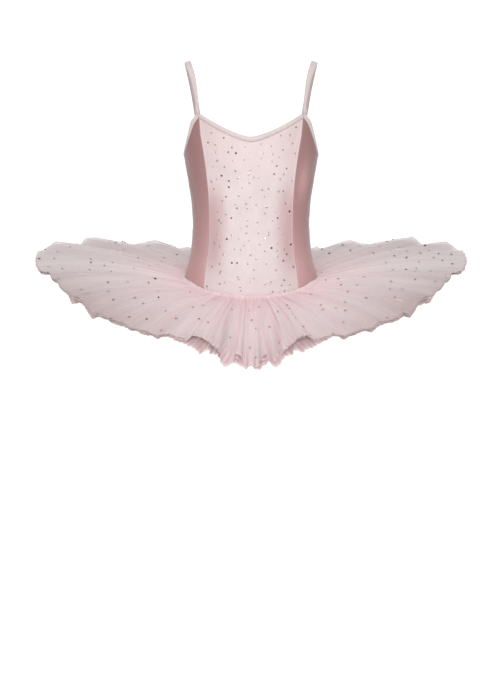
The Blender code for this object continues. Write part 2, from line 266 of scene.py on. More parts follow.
# Painted light and shade of the net's broad soft folds, by turn: above 0 is duller and pinker,
# below 0 is paler.
BROAD_FOLD_SHADING = (
    # turn, strength
    (0.0, 0.0), (30.0, 0.0), (37.0, 0.2), (43.0, -0.15), (50.0, 0.3),
    (57.0, -0.25), (62.0, 0.1), (67.0, 0.35), (72.0, -0.1), (79.0, -0.45),
    (86.0, -0.1), (91.0, 0.2), (95.0, 0.1), (100.0, 0.55), (106.0, 0.0),
    (112.0, -0.3), (120.0, 0.4), (126.0, 0.1), (131.0, -0.3), (141.0, 0.4),
    (150.0, -0.2), (160.0, 0.3), (170.0, -0.2), (180.0, 0.1),
)

# How dark the hem's edge is, by turn.
EDGING = ((0.0, 0.0), (17.0, 0.0), (27.0, 1.0), (95.0, 1.0), (118.0, 0.5), (180.0, 0.5))

# Valleys of the top layer: it dips and gathers together along them, from the seam outwards.
VALLEYS = (
    # turn, from_share, to_share, half_width, depth
    (4.6, 0.20, 0.98, 0.55, 0.0022),
    (9.0, 0.10, 0.70, 0.60, 0.0022),
    (12.6, 0.02, 0.80, 0.55, 0.0020),
    (1.6, 0.00, 0.55, 0.45, 0.0010),
    (16.6, 0.05, 0.92, 0.70, 0.0020),
    (21.5, 0.02, 0.60, 0.70, 0.0016),
    (27.0, 0.10, 0.95, 0.90, 0.0020),
    (30.5, 0.00, 0.45, 0.60, 0.0014),
    (36.0, 0.03, 0.62, 1.30, 0.0024),
    (42.5, 0.02, 0.55, 0.80, 0.0012),
    (48.5, 0.20, 0.98, 1.00, 0.0015),
    (53.0, 0.05, 0.50, 0.70, 0.0010),
    (60.0, 0.10, 0.80, 1.30, 0.0009),
    (67.5, 0.00, 0.60, 1.10, 0.0008),
    (75.0, 0.15, 0.85, 1.30, 0.0010),
    (83.0, 0.05, 0.70, 1.20, 0.0012),
    (91.0, 0.15, 0.95, 1.00, 0.0020),
    (98.0, 0.05, 0.60, 0.90, 0.0014),
    (106.0, 0.10, 0.95, 1.00, 0.0020),
    (117.0, 0.15, 0.95, 1.10, 0.0024),
    (126.0, 0.00, 0.55, 0.90, 0.0014),
    (137.0, 0.15, 0.95, 1.10, 0.0022),
    (145.0, 0.05, 0.60, 0.90, 0.0014),
    (155.0, 0.10, 0.95, 1.00, 0.0022),
    (163.0, 0.00, 0.55, 0.90, 0.0014),
    (170.0, 0.15, 0.95, 1.00, 0.0020),
)

# How each layer hangs: its share of the low hem, its flutes' depth, how much shorter it is, the
# seed and heights of its hem's creases, how ragged its edge is, and how well it covers.
Layer = namedtuple("Layer", "name hem flute shorter seed creases small_creases ragged cover")
LAYERS = (
    Layer("net_top_layer", 0.00, 0.0000, 0.000, 40, 0.0007, 0.0005, 0.0012, 1.0),
    Layer("net_second_layer", 0.40, 0.0012, 0.001, 41, 0.0009, 0.0003, 0.0012, 1.0),
    Layer("net_third_layer", 0.72, 0.0016, 0.003, 41, 0.0009, 0.0003, 0.0012, 1.0),
    Layer("net_bottom_layer", 1.00, 0.0012, 0.005, 41, 0.0009, 0.0003, 0.0008, 1.15),
)


# --------------------------------------------------------------------------- form


def power(value, exponent):
    return np.sign(value) * np.abs(value) ** exponent


def unit(vectors):
    return vectors / np.maximum(np.linalg.norm(vectors, axis=-1, keepdims=True), 1e-12)


def blend(start, end, share):
    return start + (end - start) * share


def bell(value, middle, width, steepness=2):
    """1 at the middle, falling to nothing a little beyond the width on both sides."""
    return np.exp(-(((value - middle) / width) ** steepness))


def figure(turn, height):
    """The figure's surface at turns from the front, in radians, and heights."""
    side, ahead = np.sin(turn), np.cos(turn)
    front = FIGURE.at("front_depth", height)
    depth = np.where(ahead > 0, front, FIGURE.at("back_depth", height))
    x = FIGURE.at("half_width", height) * power(side, 2 / SECTION_POWER)
    return np.stack([x, -depth * power(ahead, 2 / SECTION_POWER), height + 0 * turn], -1)


def faces_of(surface, across, along):
    """The outward directions of surface(across, along)."""
    step = 1e-4
    right = surface(across + step, along) - surface(across - step, along)
    up = surface(across, along + step) - surface(across, along - step)
    return unit(np.cross(right, up))


def turn_at(x, height, behind=False):
    share = np.minimum(1.0, np.abs(x) / FIGURE.at("half_width", height))
    turn = np.sign(x) * np.arcsin(share ** (SECTION_POWER / 2))
    return math.pi - turn if behind else turn


def turn_of(point):
    x, y, z = np.moveaxis(np.asarray(point, float), -1, 0)
    depth = np.where(y < 0, FIGURE.at("front_depth", z), FIGURE.at("back_depth", z))
    side = power(x / FIGURE.at("half_width", z), SECTION_POWER / 2)
    return np.arctan2(side, power(-y / depth, SECTION_POWER / 2))


def settled(first, step):
    """The value that a step leaves as it is, neared by halves from the first one."""
    value = first
    for _ in range(40):
        value = 0.5 * (value + step(value))
    return value


def smooth_line(points, count):
    given = np.array([tuple(point) for point in points], float)
    rows = np.arange(len(given))
    places = np.linspace(0, rows[-1], count)
    return np.stack([smooth_values(rows, values, places) for values in given.T], -1)


def mirrored(grid):
    return grid[:, ::-1] * MIRROR


def both_sides(grid):
    return (("left", grid), ("right", mirrored(grid)))


def hip_seam(turn):
    ahead = np.cos(turn)
    dip = np.where(ahead > 0, HIP_SEAM_FRONT_DIP, HIP_SEAM_BACK_DIP)
    return HIP_SEAM_SIDE - dip * ahead**2


def neck_edge(x):
    return NECK_CENTRE + NECK_CORNER_RISE * (np.abs(x) / NECK_CORNER_X) ** NECK_CURVE


def back_neck_edge(x):
    rise = BACK_NECK_CORNER_RISE * (np.abs(x) / NECK_CORNER_X) ** BACK_NECK_CURVE
    return BACK_NECK_CENTRE + rise


def corner(edge):
    """Half width and height where a neck binding's lower edge meets the princess seam."""
    start = edge(NECK_CORNER_X)
    height = settled(start, lambda z: edge(PRINCESS.at("half_width", z)) - NECK_BINDING)
    return float(PRINCESS.at("half_width", height)), float(height)


def middle_panel(edge, behind, columns, rows):
    """Turns and heights of the front or back panel, between the princess seams."""
    across = np.linspace(-1, 1, columns) * (-1 if behind else 1)

    def width(z):
        return across * (PRINCESS.at("half_width", z) - SEAM_GAP / 2)

    lower = NECK_BINDING + SEAM_GAP
    top = settled(edge(0 * across), lambda z: edge(width(z)) - lower)
    foot = settled(HIP_SEAM_SIDE + 0 * across, lambda z: hip_seam(turn_at(width(z), z, behind)))
    height = blend(foot, top, np.linspace(0, 1, rows)[:, None])
    return turn_at(width(height), height, behind), height


def neck_band(edge, behind, shares):
    """Turns and heights of a neck binding, at shares of its width above the panel."""
    xs = figure(*middle_panel(edge, behind, NECK_COLUMNS, 2))[-1, :, 0]
    height = np.stack([edge(xs) - NECK_BINDING * (1 - share) for share in shares])
    return turn_at(xs[None] + 0 * height, height, behind), height


def armhole_end(edge, behind, rise=0.0):
    """Turn and height where the armhole meets a neck binding, or at a rise above that place."""
    half, height = corner(edge)
    height += rise
    return float(turn_at(half + SEAM_GAP / 2, height, behind)), height


def armhole_line():
    """The lower edge of the left armhole binding as (turn, height), from front to back."""
    front, back = (neck_edge, False), (back_neck_edge, True)
    given = [(math.radians(turn), height) for turn, height in ARMHOLE]
    line = smooth_line([armhole_end(*front), *given, armhole_end(*back)], ARM_COLUMNS - 2)
    first, last = (armhole_end(*end, NECK_BINDING) for end in (front, back))
    return np.vstack([first, line, last])


def armhole_edges():
    """Both edges of the left armhole binding, each as turns and heights."""
    turn, height = armhole_line().T
    line = figure(turn, height)
    ahead = np.gradient(line, axis=0)
    moved = line + ARM_BINDING * unit(np.cross(faces_of(figure, turn, height), ahead))
    moved[1] = blend(moved[0], moved[2], ARM_END_EASE)
    moved[-2] = blend(moved[-1], moved[-3], ARM_END_EASE)
    return np.stack([[turn, height], [turn_of(moved), moved[:, 2]]])


def armhole_band(columns, shares, skipped=0, tucked=STRAP_SLIM):
    """Turns and heights of the left armhole binding: straight end steps, smooth between. The
    binding is slimmer under the arm, where the side panel comes up higher, and its outer edge is
    tucked in at the front strap."""
    last = ARM_COLUMNS - 1
    given = np.arange(float(ARM_COLUMNS))
    places = np.linspace(skipped, last - skipped, columns)
    ends = (places < 1) | (places > last - 1)

    def along(values):
        inner = smooth_values(given[1:-1], values[1:-1], places)
        return np.where(ends, np.interp(places, given, values), inner)

    low, high = (np.stack([along(values) for values in edge]) for edge in armhole_edges())
    from_end = np.minimum(places, last - places)
    slim = ARM_SLIM * np.clip((from_end - ARM_END_COLUMNS) / ARM_SLIMMING_COLUMNS, 0, 1)
    outer = 1 - tucked * np.clip(1 - places / ARM_END_COLUMNS, 0, 1)
    share = blend(slim, outer, np.asarray(shares, float)[:, None])
    return blend(low[0], high[0], share), blend(low[1], high[1], share)


def side_panel(columns, rows):
    """Turns and heights of the left side panel, below the armhole binding."""
    turn, height = (line[0] for line in armhole_band(columns, (0.0,), 1))
    top = height - SEAM_GAP

    def seams(z):
        half = PRINCESS.at("half_width", z) + SEAM_GAP / 2
        return turn_at(half, z), turn_at(half, z, True)

    front, back = seams(top)
    share = np.clip((turn - front) / (back - front), 0, 1)
    foot = settled(HIP_SEAM_SIDE + 0 * top, lambda z: hip_seam(blend(*seams(z), share)))
    z = blend(foot, top, np.linspace(0, 1, rows)[:, None])
    return blend(*seams(z), share), z


def brief(turn, down):
    """The brief's inner face: down runs from 0 at the hip seam to 1 at the leg edge."""
    behind = np.cos(turn) < 0
    around = np.degrees(np.arcsin(np.clip(np.abs(np.sin(turn)), 0, 1)))
    start = figure(turn, hip_seam(turn) - SEAM_GAP)
    depth = np.where(behind, -BACK_FULLNESS, 1.0) * np.minimum(0.0, LEG.at("y", around))
    x = np.where(np.sin(turn) < 0, -1.0, 1.0) * LEG.at("x", around)
    end = np.stack([x, depth, LEG.at("height", around)], -1)
    belly = start.copy()
    belly[..., 2] = blend(start[..., 2], end[..., 2], BRIEF_BELLY)
    down = np.asarray(down)[..., None]
    return (1 - down) ** 2 * start + 2 * down * (1 - down) * belly + down**2 * end


def brief_half(turn, down, away):
    """Points, outward directions and distances from the leg edge, over the front or back half."""
    turn, down = np.broadcast_arrays(turn[None], down[:, None])
    inner = brief(turn, down) + np.array([0, away * SEAM_GAP / 2, 0])
    return inner, normals_of(inner), np.linalg.norm(inner - inner[:1], axis=-1)


def sewn_to_brief(turn, below_seam):
    """Points just off the brief's outer face, below the hip seam."""
    height = hip_seam(turn) - below_seam
    low, high = np.zeros_like(turn), np.ones_like(turn)
    for _ in range(30):
        middle = (low + high) / 2
        above = brief(turn, middle)[..., 2] > height
        low, high = np.where(above, middle, low), np.where(above, high, middle)
    face = faces_of(lambda across, along: brief(across, -along), turn, -low)
    return brief(turn, low) + face * (PANEL_CLOTH + NET_STAND_OFF)


def spread(place):
    """Turns that lie closer together in front, and unevenly all round."""
    turn = place - FLUTES_TIGHTER_IN_FRONT * np.sin(place)
    return turn + 0.03 * np.sin(3 * place) + 0.02 * np.sin(7 * place)


def around_of(turn):
    """Degrees from the front, the same on both sides."""
    return np.degrees(np.arccos(np.clip(np.cos(turn), -1, 1)))


# --------------------------------------------------------------------------- making pieces


def settings():
    return bpy.context.scene.tutu


def normals_of(grid, ring=False):
    """Outward directions at the points of a grid whose rows rise and columns run left."""
    if ring:
        right = np.roll(grid, -1, 1) - np.roll(grid, 1, 1)
    else:
        right = np.gradient(grid, axis=1)
    return unit(np.cross(right, np.gradient(grid, axis=0)))


def length_along(line):
    """How far each point of a line is from its start."""
    return np.concatenate([[0], np.cumsum(np.linalg.norm(np.diff(line, axis=0), axis=-1))])


def linked(name, data):
    made = bpy.data.objects.new(name, data)
    bpy.context.scene.collection.objects.link(made)
    return made


def make_cloth(name, grid, finish, shell=0.0, ring=False, tints=None):
    """One piece of cloth from a grid of points, with a UV map and tints for its finish."""
    rows, columns = grid.shape[:2]
    across = columns if ring else columns - 1
    i, j = np.meshgrid(np.arange(rows - 1), np.arange(across), indexing="ij")
    k = (j + 1) % columns
    corners = [i * columns + j, i * columns + k, (i + 1) * columns + k, (i + 1) * columns + j]
    faces = np.stack(corners, -1).reshape(-1, 4)
    mesh = bpy.data.meshes.new(name)
    mesh.from_pydata(grid.reshape(-1, 3).tolist(), [], faces.tolist())
    u = np.stack([j, j + 1, j + 1, j], -1) / across
    v = np.stack([i, i, i + 1, i + 1], -1) / (rows - 1)
    uv = mesh.uv_layers.new(name="UVMap")
    uv.data.foreach_set("uv", np.stack([u, v], -1).astype(np.float32).ravel())
    for tint, values in (tints or {}).items():
        layer = mesh.attributes.new(tint, "FLOAT", "POINT")
        layer.data.foreach_set("value", np.asarray(values, np.float32).ravel())
    mesh.shade_smooth()
    mesh.materials.append(finish)
    piece = linked(name, mesh)
    if shell:
        wall = piece.modifiers.new("cloth", "SOLIDIFY")
        wall.thickness = shell
        wall.offset = -1.0
        wall.use_even_offset = True
    return piece


def hand_over(piece, solid):
    """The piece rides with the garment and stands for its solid."""
    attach(piece, "root")
    if solid:
        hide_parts(solid)
    return piece


def sew(solid, cloth, grid, finish, shell, tone_and_painted_light):
    """One piece of cloth in place of its solid, with the tone, painted light and painted shade that
    its finish reads.
    """
    piece = make_cloth(f"{solid}_{cloth}", grid, finish, shell, tints={"tone_and_painted_light": tone_and_painted_light})
    return hand_over(piece, solid)


# --------------------------------------------------------------------------- finishes

# Factors that the net's colour takes where its tints are 1: painted shade greyer outwards and
# where it is shaded, a darker hem edge; and the colour of its painted rim light
OUTER_NET_SHADE = (0.765, 0.79, 0.795)
SHADED_NET = (0.70, 0.625, 0.615)
EDGE_NET = (0.64, 0.585, 0.55)
RIM_LIGHT_COLOUR = (1.0, 0.92, 0.895)

# Factors of the net's colour in its fine streaks, broad bands and mesh
STREAK_NET = (0.95, 0.915, 0.92)
BAND_NET = (0.925, 0.905, 0.91)
MESH_NET = (0.92, 0.905, 0.905)
NET_MESHES = 620.0

# Sockets of a mix node that mixes colours
MIX_SHARE, MIX_FIRST, MIX_SECOND, MIX_RESULT = 0, 6, 7, 2


def node(tree, kind, inputs=(), **values):
    made = tree.nodes.new(kind)
    for key, value in values.items():
        setattr(made, key, value)
    for key, value in dict(inputs).items():
        if isinstance(value, bpy.types.NodeSocket):
            tree.links.new(value, made.inputs[key])
        else:
            made.inputs[key].default_value = value
    return made


def new_finish(name, roughness, **inputs):
    found = bpy.data.materials.get(name)
    if found:
        bpy.data.materials.remove(found)
    finish = bpy.data.materials.new(name)
    finish.use_nodes = True
    shader = finish.node_tree.nodes["Principled BSDF"]
    shader.inputs["Roughness"].default_value = roughness
    for key, value in inputs.items():
        shader.inputs[key.replace("_", " ")].default_value = value
    return finish, finish.node_tree, shader


def scaled(colour, factor):
    return tuple(min(1.0, channel * factor) for channel in colour)


def grey(value):
    return (value, value, value)


def ramp(tree, value, *stops):
    """A colour ramp through (place, colour) stops."""
    made = node(tree, "ShaderNodeValToRGB", {"Fac": value})
    elements = made.color_ramp.elements
    while len(elements) < len(stops):
        elements.new(0.5)
    for element, (place, colour) in zip(elements, stops):
        element.position = place
        element.color = (*colour, 1.0)
    return made.outputs["Color"]


def uneven(tree, value, colour, darkest, palest):
    """The colour, from its darkest to its palest factor as the value rises."""
    return ramp(tree, value, (0.3, scaled(colour, darkest)), (0.7, scaled(colour, palest)))


def mixed(tree, share, first, second, blend_type="MIX"):
    made = node(tree, "ShaderNodeMix", data_type="RGBA", blend_type=blend_type)
    for index, value in ((MIX_SHARE, share), (MIX_FIRST, first), (MIX_SECOND, second)):
        if isinstance(value, bpy.types.NodeSocket):
            tree.links.new(value, made.inputs[index])
        elif index == MIX_SHARE:
            made.inputs[index].default_value = value
        else:
            made.inputs[index].default_value = (*value, 1.0)
    return made.outputs[MIX_RESULT]


def multiplied(tree, first, second):
    return mixed(tree, 1.0, first, second, "MULTIPLY")


def stretched(tree, source, scale):
    """Texture coordinates from a UV map or the object, scaled along each axis."""
    place = node(tree, "ShaderNodeTexCoord").outputs[source]
    return node(tree, "ShaderNodeMapping", {"Vector": place, "Scale": scale}).outputs[0]


def noise(tree, stretch, scale, detail, source="Object"):
    """Cloudy noise over the cloth, drawn out where the stretch is under 1."""
    cloth = stretched(tree, source, stretch)
    sizes = {"Vector": cloth, "Scale": scale, "Detail": detail}
    return node(tree, "ShaderNodeTexNoise", sizes).outputs["Fac"]


def attribute(tree, name):
    return node(tree, "ShaderNodeAttribute", attribute_name=name).outputs["Fac"]


def coloured(tree, shader, colour):
    tree.links.new(colour, shader.inputs["Base Color"])


def embossed(tree, shader, height, strength, depth):
    sizes = {"Height": height, "Strength": strength, "Distance": depth}
    raised = node(tree, "ShaderNodeBump", sizes)
    tree.links.new(raised.outputs[0], shader.inputs["Normal"])


def knit_finish(name, colour, deep, knit_size, roughness, sheen, slub):
    """Fine stretch knit: wales that run up the cloth, courses across, and soft uneven shade. It
    turns to the deep colour, if there is one, where the tone_and_painted_light attribute is 1; the
    deep colour is partly the cloth's own and partly painted shade."""
    finish, tree, shader = new_finish(
        name, roughness, Sheen_Weight=sheen, Sheen_Roughness=0.4, Specular_IOR_Level=0.35
    )
    shade = uneven(tree, noise(tree, (1, 1, 1), 34.0, 3.0), colour, 0.95, 1.03)
    if deep:
        shade = mixed(tree, attribute(tree, "tone_and_painted_light"), shade, deep)
    lines = uneven(tree, noise(tree, (1, 1, 0.12), 420.0, 2.0), grey(1.0), 1 - slub, 1.0)
    coloured(tree, shader, multiplied(tree, shade, lines))
    sizes = {"Vector": stretched(tree, "Object", (1, 1, 0.7)), "Scale": 1 / knit_size}
    wales = node(tree, "ShaderNodeTexVoronoi", sizes)
    embossed(tree, shader, wales.outputs["Distance"], 0.25, 0.0004)
    return finish


def satin_finish(name, colour, gleam):
    """Smooth satin stretch knit with a lengthwise gleam, a painted highlight, and paler with
    painted light where the tone_and_painted_light attribute is 1.
    """
    finish, tree, shader = new_finish(
        name, 0.45, Sheen_Weight=0.12, Sheen_Roughness=0.35, Specular_IOR_Level=0.45
    )
    shade = uneven(tree, noise(tree, (1, 1, 0.6), 22.0, 2.0), colour, 0.93, 1.05)
    shade = mixed(tree, attribute(tree, "tone_and_painted_light"), shade, gleam)
    fine = noise(tree, (1, 1, 0.05), 700.0, 3.0)
    lines = ramp(tree, fine, (0.25, grey(0.9)), (0.75, grey(1.0)))
    coloured(tree, shader, multiplied(tree, shade, lines))
    embossed(tree, shader, fine, 0.15, 0.0003)
    return finish


def net_finish(name, colour, folds, opacity):
    """Stiff net: streaked by its gathers, pinker in its folds, greyer outwards, in a fine mesh; its
    grey, its shade and its rim are painted shade and painted light.
    """
    finish, tree, shader = new_finish(name, 0.62, Sheen_Weight=0.2, Specular_IOR_Level=0.3)

    def darker(tint, base, factors):
        return mixed(tree, attribute(tree, tint), base, multiplied(tree, base, factors))

    base = mixed(tree, attribute(tree, "fold"), colour, folds)
    base = darker("outer", base, OUTER_NET_SHADE)
    base = darker("shade", base, SHADED_NET)
    base = mixed(tree, attribute(tree, "rim_light"), base, RIM_LIGHT_COLOUR)
    base = darker("edge", base, EDGE_NET)
    fine = noise(tree, (1.0, 0.006, 1.0), 420.0, 3.0, "UV")
    broad = noise(tree, (1.0, 0.03, 1.0), 60.0, 3.0, "UV")
    sizes = {"Vector": stretched(tree, "UV", (2.3, 0.25, 1.0)), "Scale": NET_MESHES}
    mesh = node(tree, "ShaderNodeTexVoronoi", sizes, feature="DISTANCE_TO_EDGE")
    lines = ramp(tree, fine, (0.32, STREAK_NET), (0.68, grey(1.0)))
    bands = ramp(tree, broad, (0.35, BAND_NET), (0.65, grey(1.0)))
    threads = ramp(tree, mesh.outputs["Distance"], (0.06, grey(1.0)), (0.16, MESH_NET))
    for detail in (lines, bands, threads):
        base = multiplied(tree, base, detail)
    coloured(tree, shader, base)
    shader.inputs["Alpha"].default_value = opacity
    embossed(tree, shader, fine, 0.3, 0.0008)
    return finish


def flecked_finish(name, colour, fleck_scale, darkest, palest, roughness, **inputs):
    """Foil or thread: one colour, broken up by fine flecks."""
    finish, tree, shader = new_finish(name, roughness, **inputs)
    flecks = noise(tree, (1, 1, 1), fleck_scale, 1.0)
    coloured(tree, shader, uneven(tree, flecks, colour, darkest, palest))
    return finish


def foil_finish(name, colour, roughness):
    return flecked_finish(name, colour, 900.0, 0.7, 1.15, roughness, Metallic=1.0)


def thread_finish(name, colour):
    return flecked_finish(name, colour, 2200.0, 0.86, 1.05, 0.6, Sheen_Weight=0.3)


# --------------------------------------------------------------------------- sizes and colours

CHANNELS = {"size": 3, "min": 0.0, "max": 1.0}


class TutuSettings(bpy.types.PropertyGroup):
    """Sizes and colours that can be changed before the garment is sewn."""

    panel_colour: FloatVectorProperty(
        name="Panel colour",
        description="Pale stretch cloth of the front and back panels",
        default=(0.721, 0.640, 0.635),
        subtype="COLOR",
        **CHANNELS,
    )
    satin_colour: FloatVectorProperty(
        name="Satin colour",
        description="Dusky satin of the side panels",
        default=(0.302, 0.162, 0.157),
        subtype="COLOR",
        **CHANNELS,
    )
    satin_gleam: FloatVectorProperty(
        name="Satin gleam",
        description="Paler satin where the side panels catch the light",
        default=(0.60, 0.358, 0.356),
        subtype="COLOR",
        **CHANNELS,
    )
    binding_colour: FloatVectorProperty(
        name="Binding colour",
        description="Edge bindings and shoulder straps",
        default=(0.60, 0.525, 0.51),
        subtype="COLOR",
        **CHANNELS,
    )
    net_colour: FloatVectorProperty(
        name="Net colour",
        description="Net where it lies open",
        default=(0.955, 0.86, 0.86),
        subtype="COLOR",
        **CHANNELS,
    )
    # The under layers' colour is raised partly as painted light, for the light that the layers
    # above let through
    under_colour: FloatVectorProperty(
        name="Under-net colour",
        description="Under layers of net",
        default=(1.0, 0.81, 0.82),
        subtype="COLOR",
        **CHANNELS,
    )
    fold_colour: FloatVectorProperty(
        name="Fold colour",
        description="Net where it is gathered or folded together",
        default=(1.0, 0.77, 0.80),
        subtype="COLOR",
        **CHANNELS,
    )
    net_opacity: FloatProperty(
        name="Net opacity",
        description="How much one layer of net covers",
        subtype="FACTOR",
        min=0.1,
        max=1.0,
        default=0.8,
    )
    gather_depth: FloatProperty(
        name="Gather depth",
        description="Height of the fine gathers beside the hip seam",
        min=0.0,
        max=0.003,
        default=0.0024,
        subtype="DISTANCE",
        unit="LENGTH",
    )
    dot_size: FloatProperty(
        name="Dot size",
        description="Width of one foil dot",
        min=0.001,
        max=0.006,
        default=0.0037,
        subtype="DISTANCE",
        unit="LENGTH",
    )
    dot_spacing: FloatProperty(
        name="Dot spacing",
        description="Mean distance between the foil dots of the panels",
        min=0.008,
        max=0.05,
        default=0.0205,
        subtype="DISTANCE",
        unit="LENGTH",
    )
    net_dots: IntProperty(
        name="Dots on the net",
        description="Number of foil dots on the top layer of net",
        min=0,
        max=3000,
        default=165,
    )
    stitch_length: FloatProperty(
        name="Stitch length",
        description="Length of one stitch along a binding",
        min=0.001,
        max=0.006,
        default=0.0026,
        subtype="DISTANCE",
        unit="LENGTH",
    )
    show_stitches: BoolProperty(
        name="Stitches",
        description="Sew visible stitches along bindings and leg edges",
        default=True,
    )


# --------------------------------------------------------------------------- bodice

# Soft creases that the worn cloth shows. Lean is in degrees from upright.
FRONT_CREASES = (
    # x, height, lean, half_length, half_width, depth
    (0.000, -0.182, 90.0, 0.010, 0.0022, -0.0005),
    (0.014, -0.214, 82.0, 0.008, 0.0020, -0.0004),
    (-0.016, -0.216, 97.0, 0.008, 0.0020, -0.0004),
    (0.052, -0.232, 8.0, 0.040, 0.0060, -0.0010),
    (-0.050, -0.228, -7.0, 0.044, 0.0060, -0.0010),
    (0.060, -0.290, -10.0, 0.030, 0.0050, -0.0008),
    (-0.061, -0.285, 12.0, 0.032, 0.0050, -0.0008),
    (0.070, -0.118, 24.0, 0.016, 0.0035, -0.0007),
    (-0.070, -0.121, -22.0, 0.017, 0.0035, -0.0007),
    (0.030, -0.345, 60.0, 0.014, 0.0030, 0.0005),
    (-0.034, -0.343, -64.0, 0.015, 0.0030, 0.0005),
)
BACK_CREASES = (
    # x, height, lean, half_length, half_width, depth
    (0.020, -0.255, 84.0, 0.030, 0.0050, -0.0011),
    (-0.024, -0.268, 97.0, 0.034, 0.0055, -0.0010),
    (0.006, -0.284, 90.0, 0.026, 0.0045, -0.0009),
    (0.048, -0.226, 14.0, 0.026, 0.0045, -0.0008),
    (-0.047, -0.232, -12.0, 0.028, 0.0045, -0.0008),
    (0.030, -0.196, 55.0, 0.018, 0.0040, -0.0006),
    (-0.028, -0.199, -58.0, 0.018, 0.0040, -0.0006),
)
SIDE_CREASES = (
    # turn, height, lean, half_length, half_width, depth
    (64.0, -0.215, 6.0, 0.045, 0.0060, -0.0009),
    (78.0, -0.250, -70.0, 0.018, 0.0045, -0.0009),
    (92.0, -0.262, 84.0, 0.024, 0.0050, -0.0010),
    (104.0, -0.238, 64.0, 0.020, 0.0045, -0.0008),
    (84.0, -0.178, -24.0, 0.020, 0.0050, -0.0007),
    (98.0, -0.300, 12.0, 0.022, 0.0050, 0.0006),
)

# Factors of the panels' and bindings' colours where they are deepest: for the panels partly their
# own deeper pink and partly painted shade, for the bindings painted shade
DEEP_AND_SHADED_PANEL = (0.75, 0.555, 0.572)
SHADED_BINDING = (0.72, 0.56, 0.58)

PANEL_COLUMNS = 121
PANEL_ROWS = 110
SIDE_COLUMNS = 101
SIDE_ROWS = 92
SEAM_RIDGE = 0.0007
SATIN_SEAM_RIDGE = 0.25 * SEAM_RIDGE
SEAM_DIP = 0.0006
FOOT_DIP = 0.0003
SIDE_ARC_PER_RADIAN = 0.09


def creased(across, height, creases):
    """Soft troughs and ridges at distances across the cloth and heights."""
    relief = np.zeros_like(across)
    for x, z, lean, half_length, half_width, depth in creases:
        s, c = math.sin(math.radians(lean)), math.cos(math.radians(lean))
        along = (across - x) * s + (height - z) * c
        aside = (across - x) * c - (height - z) * s
        bow = aside - 0.12 * along**2 / half_length
        relief += depth * bell(along, 0, half_length) * bell(bow, 0, half_width)
    return relief


def edge_distance(grid):
    """How far each point of a grid is along its row from the nearer end."""
    along = np.stack([length_along(row) for row in grid])
    return np.minimum(along, along[:, -1:] - along)


def foot_distance(grid):
    return np.stack([length_along(column) for column in grid.swapaxes(0, 1)], 1)


def panel_grid(turn, height, creases, across, ridge):
    """A panel's outer face: creased, ridged beside its seams and pulled in along them."""
    inner = figure(turn, height)
    face = faces_of(figure, turn, height)
    from_seam = edge_distance(inner)
    relief = creased(across, height, creases)
    relief += ridge * bell(from_seam, 0.0022, 0.0011) - SEAM_DIP * bell(from_seam, 0, 0.0009)
    relief -= FOOT_DIP * bell(foot_distance(inner), 0, 0.001)
    return inner + face * (PANEL_CLOTH + relief)[..., None]


def denser_at_seams(values, count, edge=0.06, share=0.22):
    """The columns of a grid, set closer together beside both ends, where the seams are."""
    each = int(count * share)
    ends = np.linspace(0, edge, each, endpoint=False)
    middle = np.linspace(edge, 1 - edge, count - 2 * each)
    given = np.arange(values.shape[1])
    places = np.concatenate([ends, middle, 1 - ends[::-1]]) * given[-1]
    return np.stack([np.interp(places, given, row) for row in values])


def middle_panel_tone_and_shade(grid, x, height):
    """Deeper pink at the waist's sides, partly the cloth's own and partly painted shade of the
    figure's curve; deeper along the seams and at the foot; painted shade towards the neck; and a
    little deeper over the belly and all the rest but just above the hip seam, which stays paler
    there as painted light against the skirt's shadow.
    """
    # Partly painted shade where the figure curves away at the waist's sides
    aside = np.clip((np.abs(x) / PRINCESS.at("half_width", height) - 0.45) / 0.42, 0, 1)
    shaded = aside * aside * (3 - 2 * aside)
    tone_and_painted_light = 0.8 * shaded * (0.12 + 0.88 * bell(height, -0.262, 0.066, 4))
    tone_and_painted_light += 0.25 * bell(edge_distance(grid), 0, 0.002)
    tone_and_painted_light += 0.18 * bell(foot_distance(grid), 0, 0.005)
    # Painted shade towards the neck
    tone_and_painted_light += 0.28 * np.clip((height + 0.205) / 0.085, 0, 1)
    # Painted light: just above the hip seam the panel stays paler, against the skirt's shadow
    tone_and_painted_light += 0.08 * (1 - bell(height, -0.362, 0.022))
    return np.clip(tone_and_painted_light, 0, 1)


def side_panel_painted_light(grid, turn, height):
    """Painted light on the satin: paler towards the hip, where it turns up, and beside the seams,
    with a painted highlight where the chest catches the light.
    """
    # Painted light towards the hip, where the satin turns up
    low = np.clip((-0.14 - height) / 0.18, 0, 1) ** 1.8
    seams = bell(edge_distance(grid), 0, 0.02)
    # Painted highlight where the chest catches the light
    gleam = bell(np.degrees(turn), 53, 9) * bell(height, -0.185, 0.032)
    return np.clip(low * (0.82 + 0.18 * seams) + 0.04 * seams + 0.62 * gleam, 0, 1)


